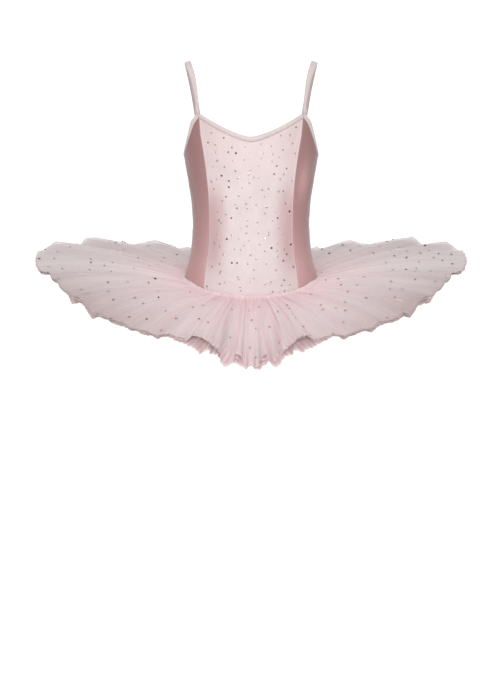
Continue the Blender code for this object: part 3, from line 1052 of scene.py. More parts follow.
class TUTU_OT_middle_panels(bpy.types.Operator):
    """Sew the front and back panels between the princess seams"""

    bl_idname = "tutu.middle_panels"
    bl_label = "Front and back panels"

    def execute(self, context):
        colour = tuple(settings().panel_colour)
        deep = tuple(np.multiply(colour, DEEP_AND_SHADED_PANEL))
        finish = knit_finish(
            "panel lycra", colour, deep, PANEL_KNIT, roughness=0.45, sheen=0.2, slub=0.03
        )
        for name, edge, behind, creases, size, area in (
            ("front_panel", neck_edge, False, FRONT_CREASES, (0.192, 0.271), 0.0386),
            ("back_panel", back_neck_edge, True, BACK_CREASES, (0.196, 0.227), 0.0294),
        ):
            evenly = middle_panel(edge, behind, 2 * PANEL_COLUMNS - 1, PANEL_ROWS)
            turn, height = (denser_at_seams(values, PANEL_COLUMNS) for values in evenly)
            x = figure(turn, height)[..., 0]
            grid = panel_grid(turn, height, creases, x, SEAM_RIDGE)
            tone_and_painted_light = middle_panel_tone_and_shade(grid, x, height)
            piece = sew(name, "cloth", grid, finish, PANEL_SHELL, tone_and_painted_light)
        return {"FINISHED"}


class TUTU_OT_side_panels(bpy.types.Operator):
    """Sew the satin side panels under the armholes"""

    bl_idname = "tutu.side_panels"
    bl_label = "Side panels"

    def execute(self, context):
        finish = satin_finish("side satin", settings().satin_colour, settings().satin_gleam)
        evenly = side_panel(2 * SIDE_COLUMNS - 1, SIDE_ROWS)
        turn, height = (denser_at_seams(values, SIDE_COLUMNS) for values in evenly)
        creases = [
            (math.radians(place) * SIDE_ARC_PER_RADIAN, *rest) for place, *rest in SIDE_CREASES
        ]
        across = turn * SIDE_ARC_PER_RADIAN
        grid = panel_grid(turn, height, creases, across, SATIN_SEAM_RIDGE)
        tone_and_painted_light = side_panel_painted_light(grid, turn, height)
        for side, points in both_sides(grid):
            name = "side_panel_" + side
            piece = sew(name, "satin", points, finish, PANEL_SHELL, tone_and_painted_light)
        return {"FINISHED"}


# A folded tape's section: shares of its width, its rise over the figure, the roll of its edges
# and the groove that its stitching makes.
BAND_SHARES = np.array([0.0, 0.03, 0.1, 0.2, 0.3, 0.42, 0.56, 0.7, 0.82, 0.92, 0.98, 1.0])
BAND_RISE = 0.0021
BAND_ROLL = 0.0009
BAND_GROOVE = 0.00035
BAND_PUCKER = 0.00012
STRAP_RISE = 0.0018
STRAP_ROLL = 0.0008
STRAP_GROOVE = 0.0003
STITCH_SHARE = 0.22
BAND_COLUMNS = 161


def tape_rise(across, rise, roll, groove):
    """How far a folded tape stands out at shares of its width."""
    rounded = rise - roll * np.abs(2 * across - 1) ** 5
    return rounded - groove * bell(across, STITCH_SHARE, 0.07)


def band_grid(turn, height):
    """A folded binding's outer face: rounded over its edges, dented along its stitching."""
    across = BAND_SHARES[:, None]
    rise = tape_rise(across, BAND_RISE, BAND_ROLL, BAND_GROOVE)
    pucker = BAND_PUCKER * np.sin(np.arange(turn.shape[1]) * 1.9)[None]
    rise = rise + pucker * bell(across, STITCH_SHARE, 0.2)
    return figure(turn, height) + faces_of(figure, turn, height) * rise[..., None]


def band_painted_shade(grid, lower=0.75, upper=0.35):
    """Painted shade: deeper colour in the seam at a band's lower edge, and a little at its upper
    edge.
    """
    tone_and_painted_light = lower * bell(BAND_SHARES, 0, 0.13) + upper * bell(BAND_SHARES, 1, 0.06)
    return np.broadcast_to(tone_and_painted_light[:, None], grid.shape[:2])


class TUTU_OT_bindings(bpy.types.Operator):
    """Sew the folded bindings round the neck and the armholes"""

    bl_idname = "tutu.bindings"
    bl_label = "Bindings"

    def execute(self, context):
        colour = tuple(settings().binding_colour)
        deep = tuple(np.multiply(colour, SHADED_BINDING))
        finish = knit_finish(
            "binding lycra", colour, deep, TAPE_KNIT, roughness=0.5, sheen=0.15, slub=0.05
        )
        for name, edge, behind in (
            ("front_neck_binding", neck_edge, False),
            ("back_neck_binding", back_neck_edge, True),
        ):
            grid = band_grid(*neck_band(edge, behind, BAND_SHARES))
            tone_and_painted_light = band_painted_shade(grid)
            piece = sew(name, "tape", grid, finish, TAPE_SHELL, tone_and_painted_light)
        for side, points in both_sides(band_grid(*armhole_band(BAND_COLUMNS, BAND_SHARES))):
            name = "armhole_binding_" + side
            tone_and_painted_light = band_painted_shade(points)
            piece = sew(name, "tape", points, finish, TAPE_SHELL, tone_and_painted_light)
        return {"FINISHED"}


def strap_line(rows):
    """Middles, outward faces and widths' directions of the left strap, from front to back. It is
    slimmer from the front foot up, where its outer edge comes in."""
    band = figure(*armhole_band(BAND_COLUMNS, (0.0, 0.5, 1.0), tucked=0.0))
    ends = [band[:, i] + np.array([0, 0, SEAM_GAP]) for i in (0, -1)]
    sewn = [(*end, *faces_of(figure, turn_of(end), end[2])) for _, end, _ in ends]
    line = smooth_line([sewn[0], *STRAP, sewn[1]], rows)
    middle, face = line[:, :3], unit(line[:, 3:])
    ahead = np.gradient(middle, axis=0)
    across = unit(np.cross(face, ahead))
    for i, (low, _, high) in zip((0, -1), ends):
        across[i] = unit(low - high)
    face = unit(np.cross(ahead, across))
    place = np.linspace(0, 1, rows)[:, None]
    slim = STRAP_SLIM * np.clip((STRAP_FULL_FROM - place) / STRAP_SLIMMING, 0, 1)
    return middle + 0.5 * slim * ARM_BINDING * across, face, (1 - slim) * across


class TUTU_OT_straps(bpy.types.Operator):
    """Sew the shoulder straps from the front corners over the shoulders to the back"""

    bl_idname = "tutu.straps"
    bl_label = "Straps"

    def execute(self, context):
        finish = bpy.data.materials["binding lycra"]
        middle, face, across = strap_line(STRAP_ROWS)
        shares = BAND_SHARES[:, None, None]
        rise = tape_rise(shares, STRAP_RISE, STRAP_ROLL, STRAP_GROOVE)
        grid = middle + (0.5 - shares) * ARM_BINDING * across + face * rise
        for side, points in both_sides(grid):
            name = "strap_" + side
            # Painted shade along the strap's edges, most along its outer edge
            tone_and_painted_light = band_painted_shade(points, 0.25, 0.6)
            piece = sew(name, "tape", points, finish, TAPE_SHELL, tone_and_painted_light)
        return {"FINISHED"}


class TUTU_OT_brief(bpy.types.Operator):
    """Sew the brief under the net, with turned leg edges"""

    bl_idname = "tutu.brief"
    bl_label = "Brief"

    def execute(self, context):
        colour = scaled(settings().panel_colour, 0.97)
        finish = knit_finish(
            "brief lycra", colour, None, PANEL_KNIT, roughness=0.55, sheen=0.25, slub=0.03
        )
        for name, middle, away in BRIEF_HALVES:
            turn = middle + math.pi * (np.linspace(0, 1, BRIEF_COLUMNS) - 0.5) * 0.9999
            down = 1 - np.linspace(0, 1, BRIEF_ROWS)
            inner, face, edge = brief_half(turn, down, away)
            turned = LEG_HEM_RISE / (1 + np.exp((edge - LEG_HEM) / LEG_HEM_STEP))
            groove = LEG_GROOVE * bell(edge, LEG_STITCHES, LEG_GROOVE_WIDTH)
            grid = inner + face * (BRIEF_CLOTH + turned - groove)[..., None]
            piece = make_cloth(name + "_cloth", grid, finish, PANEL_SHELL)
            hand_over(piece, name)
        return {"FINISHED"}


# --------------------------------------------------------------------------- net

TOP, BOTTOM = 0, len(LAYERS) - 1
NET_COLUMNS = 1440
NET_ROWS = 56
ROWS_TOWARDS_EDGES = 0.6
LAYER_GAP = 0.0010
FULL_VALLEY = 0.0024
HEM_SOFTENING = 22
STREAK_SOFTENING = 6

# Degrees from the front of its petals and of the arches beside them. In the arches only the bottom
# layer shows under the top one, and it reaches further out there.
PETAL_TURN = 6.9
ARCH_TURN = 13
ARCH_HALF_WIDTH = 5.5
ARCH_REACH = 0.0036

# Frills of the layers below the top one, strongest in front: their number all round, how far they
# slant and how deep they are
FRILLS = 235
FRILL_SLANT = 2.3
FRILL_DEPTH = 0.0018

# The top layer's sewn edge stands up over the seam, higher in front and beside the hips.
ROOT_RISE = 0.0028
ROOT_TUCK = 0.0006
ROOT_FRONT_RISE = 0.0016
ROOT_SIDE_RISE = 0.0020
ROOT_RAGGED = 0.0007

GATHERS = (
    # count round the skirt, strength at the seam, strength at the hem
    (61, 0.3, 0.22),
    (83, 0.8, 0.26),
    (109, 1.1, 0.24),
    (137, 1.1, 0.20),
    (171, 0.9, 0.16),
    (233, 0.3, 0.14),
)
GATHERS_AT_SEAM = 0.54
GATHERS_AT_HEM = 0.8
GATHERS_FULL = 2.2

Net = namedtuple("Net", "points turn share ripple valley frill raised")


def gathers(turn, share, seed):
    """Fine gathers: uneven ripples that start at the seam and open out along the net."""
    chance = np.random.default_rng(seed)
    near = GATHERS_AT_SEAM * bell(share, 0, 0.36) * np.minimum(1, share / 0.09 + 0.12)
    far = GATHERS_AT_HEM * share**0.6
    ripple = np.zeros(np.broadcast(turn, share).shape)
    for count, root, hem in GATHERS:
        phase, drift = chance.uniform(0, 2 * math.pi, 2)
        beat = 1 + 0.6 * np.sin(turn * chance.integers(3, 11) + drift)
        wander = 0.5 * np.sin(turn * chance.integers(2, 6) + 2 * share + drift)
        ripple += (root * near + hem * far) * beat * np.sin(count * turn + phase + wander)
    return ripple / GATHERS_FULL


def crumples(turn, seed, width, height):
    """An uneven run of creases round the hem, straight-sided and of random width and height."""
    chance = np.random.default_rng(seed)
    steps = chance.uniform(0.45, 1.55, int(2 * math.pi / width))
    knots = np.concatenate([[0], np.cumsum(steps)]) * 2 * math.pi / steps.sum()
    way = np.where(np.arange(len(steps)) % 2, 1.0, -1.0)
    values = way * chance.uniform(0.25, 1.0, len(steps)) * height
    return np.interp(turn % (2 * math.pi), knots, [*values, values[0]])


def hem_line(table, around):
    """A table's values, by turn, round the skirt."""
    turns, values = np.array(table).T
    return np.interp(around, turns, values)


def softened(values, columns):
    """Values round a ring, averaged with their neighbours."""
    window = np.hanning(2 * columns + 1)
    wide = np.concatenate([values[-columns:], values, values[:columns]])
    return np.convolve(wide, window / window.sum(), "valid")


def arch_of(around):
    return bell(around, ARCH_TURN, ARCH_HALF_WIDTH, 4)


def valleys(turn, share):
    """How much the net is gathered along the valleys, from 0 to 1, and how deep they are."""
    around = around_of(turn)
    total = np.zeros(np.broadcast(around, share).shape)
    deepest = np.zeros_like(total)
    for middle, start, end, width, depth in VALLEYS:
        wide = width * (0.55 + 0.45 * share)
        across = bell(around, middle, wide)
        along = 1 / (1 + np.exp(-(share - start) / 0.05)) / (1 + np.exp((share - end) / 0.05))
        beside = bell(around, middle, 2.4 * wide)
        total += depth / FULL_VALLEY * (0.75 * across + 0.4 * beside) * along
        deepest += depth * across * along
    return np.clip(total, 0, 1), deepest


def net_hem(number, turn, around):
    """The outer edge of one layer of net, before its folds."""
    layer = LAYERS[number]
    front = bell(around, 0, 22)
    reach = HEM.at("reach", around) - layer.shorter * (0.4 - 1.3 * front)
    if number != TOP:
        reach = reach + 0.0022 * front
    if number == BOTTOM:
        reach = reach + ARCH_REACH * arch_of(around)
    reach = reach + crumples(turn, 60 + number, 0.05, layer.ragged)
    return np.stack([reach * np.sin(turn), -reach * np.cos(turn), HEM.at("height", around)], -1)


def hem_lifts(number, turn, around):
    """How far one layer hangs off the even hem: broad and fine lifts, and its own drop."""
    layer = LAYERS[number]
    lift = hem_line(TOP_HEM, around)
    broad = softened(lift, HEM_SOFTENING)
    fine = lift - broad + crumples(turn, layer.seed, 0.055, layer.creases)
    fine = fine + crumples(turn, 50, 0.023, layer.small_creases)
    wave = np.sin(FLUTES * turn + 0.9 * np.sin(3 * turn) + number)
    drop = layer.hem * (hem_line(LOW_HEM, around) - lift) + layer.flute * wave
    if number != BOTTOM:
        drop = drop * (1 - arch_of(around))
    return broad, fine, drop


def net_surface(number, above=None):
    """The surface of one layer of net, from the hem in, with its folds. It hangs under the layer
    above."""
    turn = spread(np.linspace(0, 2 * math.pi, NET_COLUMNS, endpoint=False))
    around = around_of(turn)
    share = np.linspace(1, 0, NET_ROWS)[:, None]
    share = share - ROWS_TOWARDS_EDGES * np.sin(2 * math.pi * share) / (2 * math.pi)
    root = sewn_to_brief(turn, FIRST_ROW_BELOW_SEAM + number * ROW_SPACING)
    broad, fine, drop = hem_lifts(number, turn, around)
    points = blend(root[None], net_hem(number, turn, around)[None], share[..., None])
    points[..., 2] += NET_ARCH * np.sin(math.pi * share)
    points[..., 2] += broad * share**1.3 + fine * share**2.6 + drop * share**7
    face = normals_of(points, ring=True)

    petals = bell(around, PETAL_TURN, 2.2, 4) * share**2
    ripple = gathers(turn[None], share, 11 + number) * (1 - 0.7 * petals)
    valley, deep = valleys(turn[None], share)
    slant = FRILL_SLANT * np.clip((around - 3) / 5, 0, 1)
    ahead = FRILLS * (np.radians(around) + slant * (points[..., 2] - HEM.at("height", 0.0)))
    beat = 0.75 + 0.25 * np.sin(29 * turn + 1.3)
    frill = beat * np.sin(ahead + 1.6 * np.sin(17 * turn)) * share**4
    raised = frill * blend(0.2, 1.0, bell(around, 0, 22, 4)) * (number != TOP)
    relief = settings().gather_depth * ripple - deep * (number == TOP) + FRILL_DEPTH * raised
    points = points + face * relief[..., None]

    if above is not None:
        gap = LAYER_GAP * (1 - 0.6 * arch_of(around))
        points[..., 2] = np.minimum(points[..., 2], above[..., 2] - gap)
    if number == TOP:
        sewn = bell(share, 0, 0.014)
        rise = ROOT_RISE + ROOT_FRONT_RISE * bell(around, 0, 45)
        rise = rise + ROOT_SIDE_RISE * bell(around, 61, 9) + crumples(turn, 71, 0.03, ROOT_RAGGED)
        points[..., 2] += sewn * rise
        points[..., 0] -= sewn * ROOT_TUCK * np.sin(turn)
        points[..., 1] += sewn * ROOT_TUCK * np.cos(turn)
    return Net(points, turn, share, ripple, valley, frill, raised)


def fold_tint(net, around, broad_fold_shading):
    """Pinker where the net is gathered at its seam, in its valleys, between its gathers and in the
    painted shade of its broad folds.
    """
    front = bell(around, 0, 42)
    gathered = blend(0.40, 0.66, front) * bell(net.share, 0, 0.34) + 0.38 * front
    fold = gathered + net.valley * blend(0.13, 0.58, front) + 0.22 * broad_fold_shading
    fold = fold - 0.14 * net.ripple * bell(net.share, 0, 0.7) - 0.4 * net.raised
    return np.clip(fold, 0, 1) * (1 - 0.55 * bell(around, PETAL_TURN, 2.0, 4) * net.share**2)


def outer_tint(top, share, front, beside, broad_fold_shading):
    """Painted shade: greyer outwards, where the shaded layers below show through, least in front,
    and in the painted light and shade of the broad folds.
    """
    outer = 0.62 * (1 - bell(share, 0, 0.35)) + 0.38 * share**3
    outer = outer * (1 - (0.5 if top else 0.8) * front - (0.35 if top else 0.2) * beside)
    return outer * (1 if top else 0.4) * (1 + 0.55 * broad_fold_shading)


def net_tints(number, net):
    """How far each point of a layer takes on the tints of its finish: its pinker folds, and painted
    shade and painted light.
    """
    top, bottom = number == TOP, number == BOTTOM
    around, share = around_of(net.turn), net.share
    front, beside = bell(around, 0, 20), bell(around, 30, 16)
    petals = bell(around, PETAL_TURN, 2.0, 4)
    arches = bell(around, 13.5, 4.5, 4)
    broad_fold_shading = softened(hem_line(BROAD_FOLD_SHADING, around), STREAK_SOFTENING)
    hemmed = np.clip((share - 0.985) / 0.008, 0, 1)

    # Painted shade where the hem droops away from the light beside the front
    droop_shade = 0.96 * bell(around, 47, 24) * share**3
    # Painted shade in the hollows of the frills' flutes, most in front and in the arches
    flutes = np.clip(0.85 - 0.5 * net.frill, 0, 1.3) * (0.6 * front + 1.2 * arches) * share**4
    edge = hemmed * (0.6 if top else 0.75) * hem_line(EDGING, around)
    # Painted rim light along the hem, most on the petals and, on the bottom layer, in front
    rim_light = hemmed * (0.15 + 0.65 * petals + (0.6 * front if bottom else 0))
    if top:
        # Painted shade on the top layer: where it droops, towards the back, on the petals, in the
        # middle front and near the flutes
        shade = droop_shade + 0.27 * np.clip((around - 95) / 30, 0, 1)
        shade = shade + 0.66 * petals * share**3 + 0.6 * bell(around, 0, 3.2, 4) * share**8
        shade = shade + 0.12 * flutes * (1 - petals) * share**5
    else:
        # Painted shade on the layers below: a little where they droop, and in their flutes
        shade = 0.15 * droop_shade + (0.95 if bottom else 0.3) * flutes
        # Painted light lifts the under layers' outer parts out of the top layer's shadow, except in
        # front
        rim_light = np.clip(rim_light + 0.75 * share**6 * (1 - bell(around, 0, 26, 4)), 0, 1)
    if bottom:
        edge = edge + 0.1 * arches * share**4
    return {
        "fold": fold_tint(net, around, broad_fold_shading),
        "outer": outer_tint(top, share, front, beside, broad_fold_shading),
        "shade": shade,
        "edge": edge,
        "rim_light": rim_light,
    }


class TUTU_OT_net(bpy.types.Operator):
    """Gather the layers of net onto the brief"""

    bl_idname = "tutu.net"
    bl_label = "Net layers"

    def execute(self, context):
        chosen = settings()
        above = None
        for number, layer in enumerate(LAYERS):
            top = number == TOP
            finish = net_finish(
                "top net" if top else f"under net {number}",
                tuple(chosen.net_colour) if top else scaled(chosen.under_colour, 1 - 0.03 * number),
                tuple(chosen.fold_colour),
                chosen.net_opacity * layer.cover,
            )
            net = net_surface(number, above)
            above = net.points
            tints = net_tints(number, net)
            piece = make_cloth(layer.name + "_net", net.points, finish, ring=True, tints=tints)
            hand_over(piece, layer.name)
        return {"FINISHED"}


# --------------------------------------------------------------------------- dots and stitches

# The dark foil is a painted dark reflection and the bright foil a painted glint of the silvery foil
FOILS = (
    # name, colour, roughness
    ("foil pale", (0.52, 0.42, 0.41), 0.40),
    ("foil silver", (0.38, 0.32, 0.32), 0.28),
    ("foil dark reflection", (0.13, 0.09, 0.088), 0.32),
    ("foil glint", (0.95, 0.93, 0.93), 0.12),
)
PALE, DARK_REFLECTION = 0, 2
PANEL_FOIL_SHARES = (0.55, 0.21, 0.22, 0.02)
NET_FOIL_SHARES = (0.53, 0.25, 0.20, 0.02)
DOT_SIDES = 8
DOT_SIDE_AIM = (0.31, 0.17, 0.94)
DOT_ROWS = 40
DOT_COLUMNS = 8
DOTS_TOP = -0.09
DOT_SEAM_MARGIN = 0.005
DOT_EDGE_MARGIN = 0.003
DOT_STAND_OFF = 0.00006
NO_DARK_REFLECTIONS_WITHIN = 0.022
NET_DOT_SIZE = 1.2
NET_DOT_DOME = 0.3
NET_DOT_STAND_OFF = 0.0008
NET_DOTS_APART = 0.019
NET_DOTS_FROM = 0.12


def disc_mesh(name, centres, faces, sizes, kinds, finishes, dome=0.12):
    """Round domed discs, each with its own finish, joined in one mesh."""
    mesh = bpy.data.meshes.new(name)
    points, polygons, slots = [], [], []
    for centre, face, size, kind in zip(centres, faces, sizes, kinds):
        side = unit(np.cross(face, DOT_SIDE_AIM))
        up = np.cross(face, side)
        start = len(points)
        points.append(centre + face * size * dome)
        for k in range(DOT_SIDES):
            a = 2 * math.pi * k / DOT_SIDES
            points.append(centre + size / 2 * (math.cos(a) * side + math.sin(a) * up))
        for k in range(DOT_SIDES):
            polygons.append((start, start + 1 + k, start + 1 + (k + 1) % DOT_SIDES))
            slots.append(int(kind))
    mesh.from_pydata([tuple(p) for p in points], [], polygons)
    for finish in finishes:
        mesh.materials.append(finish)
    mesh.polygons.foreach_set("material_index", slots)
    return linked(name, mesh)


def panel_spots(step, chance):
    """Places for dots in staggered rows, each one strayed a little."""
    spots = []
    for row in range(DOT_ROWS):
        for column in range(-DOT_COLUMNS, DOT_COLUMNS + 1):
            x = (column + 0.5 * (row % 2)) * step + chance.normal(0, 0.24 * step)
            z = DOTS_TOP - row * 0.5 * step * 1.15 + chance.normal(0, 0.20 * step)
            spots.append((x, z))
    return np.array(spots).T


def spots_on_net(points, wanted, chance):
    """Indexes of points spread evenly over the net, none close to another."""
    radius = np.linalg.norm(points[..., :2], axis=-1)
    spacing = np.linalg.norm(np.gradient(points, axis=0), axis=-1)
    weight = (spacing * radius * (radius > NET_DOTS_FROM)).ravel()
    flat = points.reshape(-1, 3)
    kept = []
    for index in chance.choice(weight.size, wanted * 6, replace=False, p=weight / weight.sum()):
        if len(kept) == wanted:
            break
        if all(np.linalg.norm(flat[index] - flat[k]) > NET_DOTS_APART for k in kept):
            kept.append(index)
    return kept


def drawn_dots(faces, lean, size, shares, chance):
    """Each dot's own face, width and foil, drawn by chance."""
    leaning = unit(faces + chance.normal(0, lean, faces.shape))
    sizes = size * chance.uniform(0.75, 1.1, len(faces))
    return leaning, sizes, chance.choice(len(FOILS), len(faces), p=shares)


def panel_dots(name, edge, behind, finishes, chance):
    """Dots on the front or back panel, clear of its seams and with no painted dark reflections in
    its middle.
    """
    chosen = settings()
    x, z = panel_spots(chosen.dot_spacing, chance)
    inside = np.abs(x) < PRINCESS.at("half_width", z) - DOT_SEAM_MARGIN
    inside &= z < edge(x) - NECK_BINDING - DOT_EDGE_MARGIN
    inside &= z > hip_seam(turn_at(x, z, behind)) + DOT_EDGE_MARGIN
    x, z = x[inside], z[inside]
    turn = turn_at(x, z, behind)
    face = faces_of(figure, turn, z)
    relief = creased(x, z, BACK_CREASES if behind else FRONT_CREASES)
    lift = PANEL_CLOTH + DOT_STAND_OFF + relief
    centres = figure(turn, z) + face * lift[:, None]
    leaning, sizes, kinds = drawn_dots(face, 0.10, chosen.dot_size, PANEL_FOIL_SHARES, chance)
    kinds = np.where((np.abs(x) < NO_DARK_REFLECTIONS_WITHIN) & (kinds == DARK_REFLECTION), PALE, kinds)
    piece = disc_mesh(name, centres, leaning, sizes, kinds, finishes)
    hand_over(piece, None)


def net_dots(finishes, chance):
    """Dots on the top layer of net, tilted by its folds and all pale in front."""
    chosen = settings()
    net = bpy.data.objects["net_top_layer_net"].data
    points = np.zeros(len(net.vertices) * 3)
    net.vertices.foreach_get("co", points)
    points = points.reshape(NET_ROWS, NET_COLUMNS, 3)
    kept = spots_on_net(points, chosen.net_dots, chance)
    face = normals_of(points, ring=True).reshape(-1, 3)[kept]
    centres = points.reshape(-1, 3)[kept] + face * NET_DOT_STAND_OFF
    size = NET_DOT_SIZE * chosen.dot_size
    leaning, sizes, kinds = drawn_dots(face, 0.45, size, NET_FOIL_SHARES, chance)
    kinds = np.where(np.abs(centres[:, 0]) < -0.6 * centres[:, 1], PALE, kinds)
    piece = disc_mesh("net_dots", centres, leaning, sizes, kinds, finishes, NET_DOT_DOME)
    hand_over(piece, None)


class TUTU_OT_dots(bpy.types.Operator):
    """Bond foil dots to the front and back panels and the top layer of net"""

    bl_idname = "tutu.dots"
    bl_label = "Foil dots"

    def execute(self, context):
        finishes = [foil_finish(*foil) for foil in FOILS]
        chance = np.random.default_rng(7)
        panel_dots("front_dots", neck_edge, False, finishes, chance)
        panel_dots("back_dots", back_neck_edge, True, finishes, chance)
        net_dots(finishes, chance)
        return {"FINISHED"}


STITCH_SIDES = 5
STITCH_GAP = 0.35
THREAD = 0.00028
STITCH_STAND_OFF = 0.0001


def at_places(places, along, values):
    return np.stack([np.interp(places, along, column) for column in values.T], -1)


def stitch_mesh(name, runs, finish, length):
    """Short thread stitches along runs of points, each a thin rounded bar."""
    points, polygons = [], []
    angles = np.arange(STITCH_SIDES) * 2 * math.pi / STITCH_SIDES
    for line, faces in runs:
        along = length_along(line)
        count = int(along[-1] / length)
        for k in range(count):
            places = along[-1] * (k + np.array([STITCH_GAP / 2, 0.5, 1 - STITCH_GAP / 2])) / count
            path = at_places(places, along, line)
            face = unit(at_places(places, along, faces))
            side = unit(np.cross(face, path[2] - path[0]))
            start = len(points)
            for row, fatness in enumerate((0.35, 1.0, 0.35)):
                for a in angles:
                    rise = math.sin(a) + 0.2 * row
                    offset = fatness * (math.cos(a) * side[row] + rise * face[row])
                    points.append(path[row] + THREAD * offset)
            for row in range(2):
                for column in range(STITCH_SIDES):
                    a = start + row * STITCH_SIDES + column
                    b = start + row * STITCH_SIDES + (column + 1) % STITCH_SIDES
                    polygons.append((a, b, b + STITCH_SIDES, a + STITCH_SIDES))
            last = start + 2 * STITCH_SIDES
            polygons.append(tuple(range(start + STITCH_SIDES - 1, start - 1, -1)))
            polygons.append(tuple(range(last, last + STITCH_SIDES)))
    mesh = bpy.data.meshes.new(name)
    mesh.from_pydata([tuple(p) for p in points], [], polygons)
    mesh.shade_smooth()
    mesh.materials.append(finish)
    return linked(name, mesh)


def band_run(turn, height):
    """The stitched line of a binding, as points and outward faces."""
    face = faces_of(figure, turn, height)[0]
    return figure(turn, height)[0] + face * (BAND_RISE - BAND_GROOVE + STITCH_STAND_OFF), face


def strap_run():
    middle, face, across = strap_line(STRAP_ROWS)
    rise = STRAP_RISE - STRAP_GROOVE + STITCH_STAND_OFF
    return middle + (0.5 - STITCH_SHARE) * ARM_BINDING * across + face * rise, face


def binding_runs():
    """Stitched lines along the bindings and straps."""
    share = (STITCH_SHARE,)
    necks = ((neck_edge, False), (back_neck_edge, True))
    runs = [band_run(*neck_band(edge, behind, share)) for edge, behind in necks]
    for points, faces in (band_run(*armhole_band(BAND_COLUMNS, share)), strap_run()):
        runs.append((points, faces))
        runs.append(((points * MIRROR)[::-1], (faces * MIRROR)[::-1]))
    return runs


def leg_runs():
    """Stitched lines along the turned leg edges, on both sides of each half of the brief."""
    runs = []
    for _, middle, away in BRIEF_HALVES:
        for first, last in ((-0.499, -0.172), (0.172, 0.499)):
            turn = middle + math.pi * np.linspace(first, last, 90)
            inner, face, edge = brief_half(turn, 1 - np.linspace(0.0, 0.2, 41), away)
            row = np.argmin(np.abs(edge - LEG_STITCHES), 0)
            column = np.arange(len(turn))
            outward = face[row, column]
            runs.append((inner[row, column] + outward * BRIEF_CLOTH, outward))
    return runs


class TUTU_OT_stitches(bpy.types.Operator):
    """Topstitch the bindings, the straps and the leg edges"""

    bl_idname = "tutu.stitches"
    bl_label = "Stitches"

    def execute(self, context):
        chosen = settings()
        if not chosen.show_stitches:
            return {"FINISHED"}
        finish = thread_finish("thread", scaled(chosen.binding_colour, 0.93))
        piece = stitch_mesh("binding_stitches", binding_runs(), finish, chosen.stitch_length)
        hand_over(piece, None)
        piece = stitch_mesh("leg_stitches", leg_runs(), finish, chosen.stitch_length)
        hand_over(piece, None)
        return {"FINISHED"}


# --------------------------------------------------------------------------- stage

CAMERA_AIM = (-0.00165, 0.0, -0.471)
CAMERA_DISTANCE = 4.0
CAMERA_RISE = math.radians(10.0)
VIEW_HEIGHT = 1.155

PAPER_HEIGHT = -1.04
PAPER_HALF_WIDTH = 5.0
PAPER_FRONT = -3.2
PAPER_BEND_FROM = 2.4
PAPER_BEND_RADIUS = 1.2
PAPER_TOP = 4.2
PAPER_GLOW = 0.36

ROOM_LIGHT = 0.44
LIGHTS = (
    # name, place, aim, size, watts
    ("key", (0.0, -3.0, 0.55), (0.0, 0.0, -0.30), (1.6, 1.2), 48.0),
    ("overhead", (0.0, -0.3, 1.8), (0.0, 0.0, -0.30), (2.4, 2.0), 20.8),
    ("right fill", (-2.6, -1.4, 0.0), (0.0, 0.0, -0.25), (0.7, 1.4), 4.4),
    ("left fill", (2.6, -1.4, 0.0), (0.0, 0.0, -0.25), (0.7, 1.4), 4.4),
)


def area_light(name, place, aim, size, watts):
    lamp = bpy.data.lights.new(name, "AREA")
    lamp.shape = "RECTANGLE"
    lamp.size, lamp.size_y = size
    lamp.energy = watts
    holder = linked(name, lamp)
    holder.location = place
    way = Vector(aim) - Vector(place)
    holder.rotation_euler = way.to_track_quat("-Z", "Y").to_euler()


def paper_profile():
    """The studio paper from the side: flat, then bent up into a wall behind."""
    radius = PAPER_BEND_RADIUS
    bend = [
        (PAPER_BEND_FROM + radius * math.sin(a), radius - radius * math.cos(a))
        for a in np.linspace(0.1, math.pi / 2, 12)
    ]
    start = [(PAPER_FRONT, 0.0), (PAPER_BEND_FROM, 0.0)]
    return [*start, *bend, (PAPER_BEND_FROM + radius, PAPER_TOP)]


def studio_paper():
    draft = bmesh.new()
    sides = (-PAPER_HALF_WIDTH, PAPER_HALF_WIDTH)
    rows = [
        [draft.verts.new((x, y, PAPER_HEIGHT + z)) for x in sides] for y, z in paper_profile()
    ]
    for low, high in zip(rows, rows[1:]):
        draft.faces.new((low[0], low[1], high[1], high[0]))
    mesh = bpy.data.meshes.new("studio_floor")
    draft.to_mesh(mesh)
    draft.free()
    mesh.shade_smooth()
    finish, tree, shader = new_finish("studio paper", 0.9)
    cloud = noise(tree, (1, 1, 1), 1.5, 2.0)
    coloured(tree, shader, uneven(tree, cloud, grey(1.0), 0.93, 0.95))
    shader.inputs["Emission Color"].default_value = (1, 1, 1, 1)
    shader.inputs["Emission Strength"].default_value = PAPER_GLOW
    mesh.materials.append(finish)
    return linked("studio_floor", mesh)


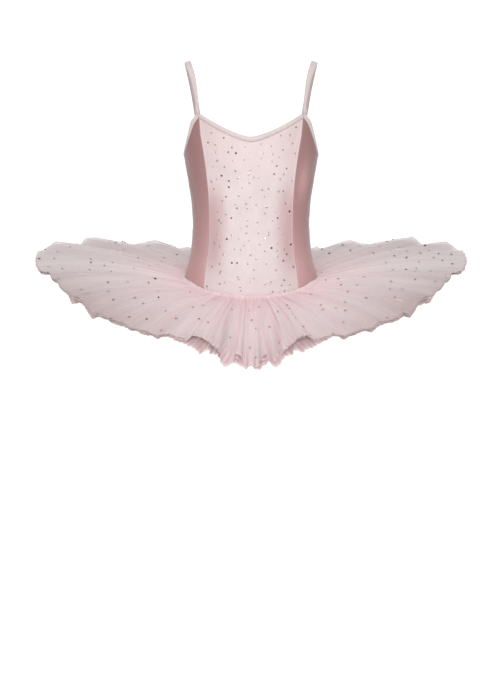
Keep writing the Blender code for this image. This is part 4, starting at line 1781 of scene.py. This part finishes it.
def aimed_camera():
    camera = bpy.data.cameras.new("camera")
    camera.sensor_fit = "VERTICAL"
    camera.angle = 2 * math.atan(VIEW_HEIGHT / 2 / CAMERA_DISTANCE)
    holder = linked("camera", camera)
    way = Vector((0, -math.cos(CAMERA_RISE), math.sin(CAMERA_RISE)))
    holder.location = Vector(CAMERA_AIM) + way * CAMERA_DISTANCE
    holder.rotation_euler = (-way).to_track_quat("-Z", "Y").to_euler()
    return holder


class TUTU_OT_stage(bpy.types.Operator):
    """Set the plain floor, the soft light and the camera"""

    bl_idname = "tutu.stage"
    bl_label = "Stage"

    def execute(self, context):
        scene = context.scene
        scene.view_settings.view_transform = "Standard"
        scene.cycles.transparent_max_bounces = 48
        floor = studio_paper()
        world = bpy.data.worlds.new("studio light")
        scene.world = world
        world.use_nodes = True
        back = world.node_tree.nodes["Background"]
        back.inputs["Color"].default_value = (1.0, 1.0, 1.0, 1.0)
        back.inputs["Strength"].default_value = ROOM_LIGHT
        for light in LIGHTS:
            area_light(*light)
        scene.camera = aimed_camera()
        return {"FINISHED"}


OPERATORS = (
    TUTU_OT_side_panels,
    TUTU_OT_middle_panels,
    TUTU_OT_bindings,
    TUTU_OT_straps,
    TUTU_OT_brief,
    TUTU_OT_net,
    TUTU_OT_dots,
    TUTU_OT_stitches,
    TUTU_OT_stage,
)


class TUTU_PT_panel(bpy.types.Panel):
    """Sizes, colours and steps of the ballet tutu"""

    bl_idname = "TUTU_PT_panel"
    bl_label = "Ballet tutu"
    bl_space_type = "VIEW_3D"
    bl_region_type = "UI"
    bl_category = "Tutu"

    def draw(self, context):
        column = self.layout.column()
        for name in TutuSettings.__annotations__:
            column.prop(context.scene.tutu, name)
        for operator in OPERATORS:
            column.operator(operator.bl_idname)


CLASSES = (TutuSettings, *OPERATORS, TUTU_PT_panel)


def register():
    for kind in CLASSES:
        bpy.utils.register_class(kind)
    bpy.types.Scene.tutu = PointerProperty(type=TutuSettings)


def unregister():
    del bpy.types.Scene.tutu
    for kind in reversed(CLASSES):
        bpy.utils.unregister_class(kind)


def main():
    register()
    for operator in OPERATORS:
        family, step = operator.bl_idname.split(".")
        getattr(getattr(bpy.ops, family), step)()


if __name__ == "__main__":
    main()
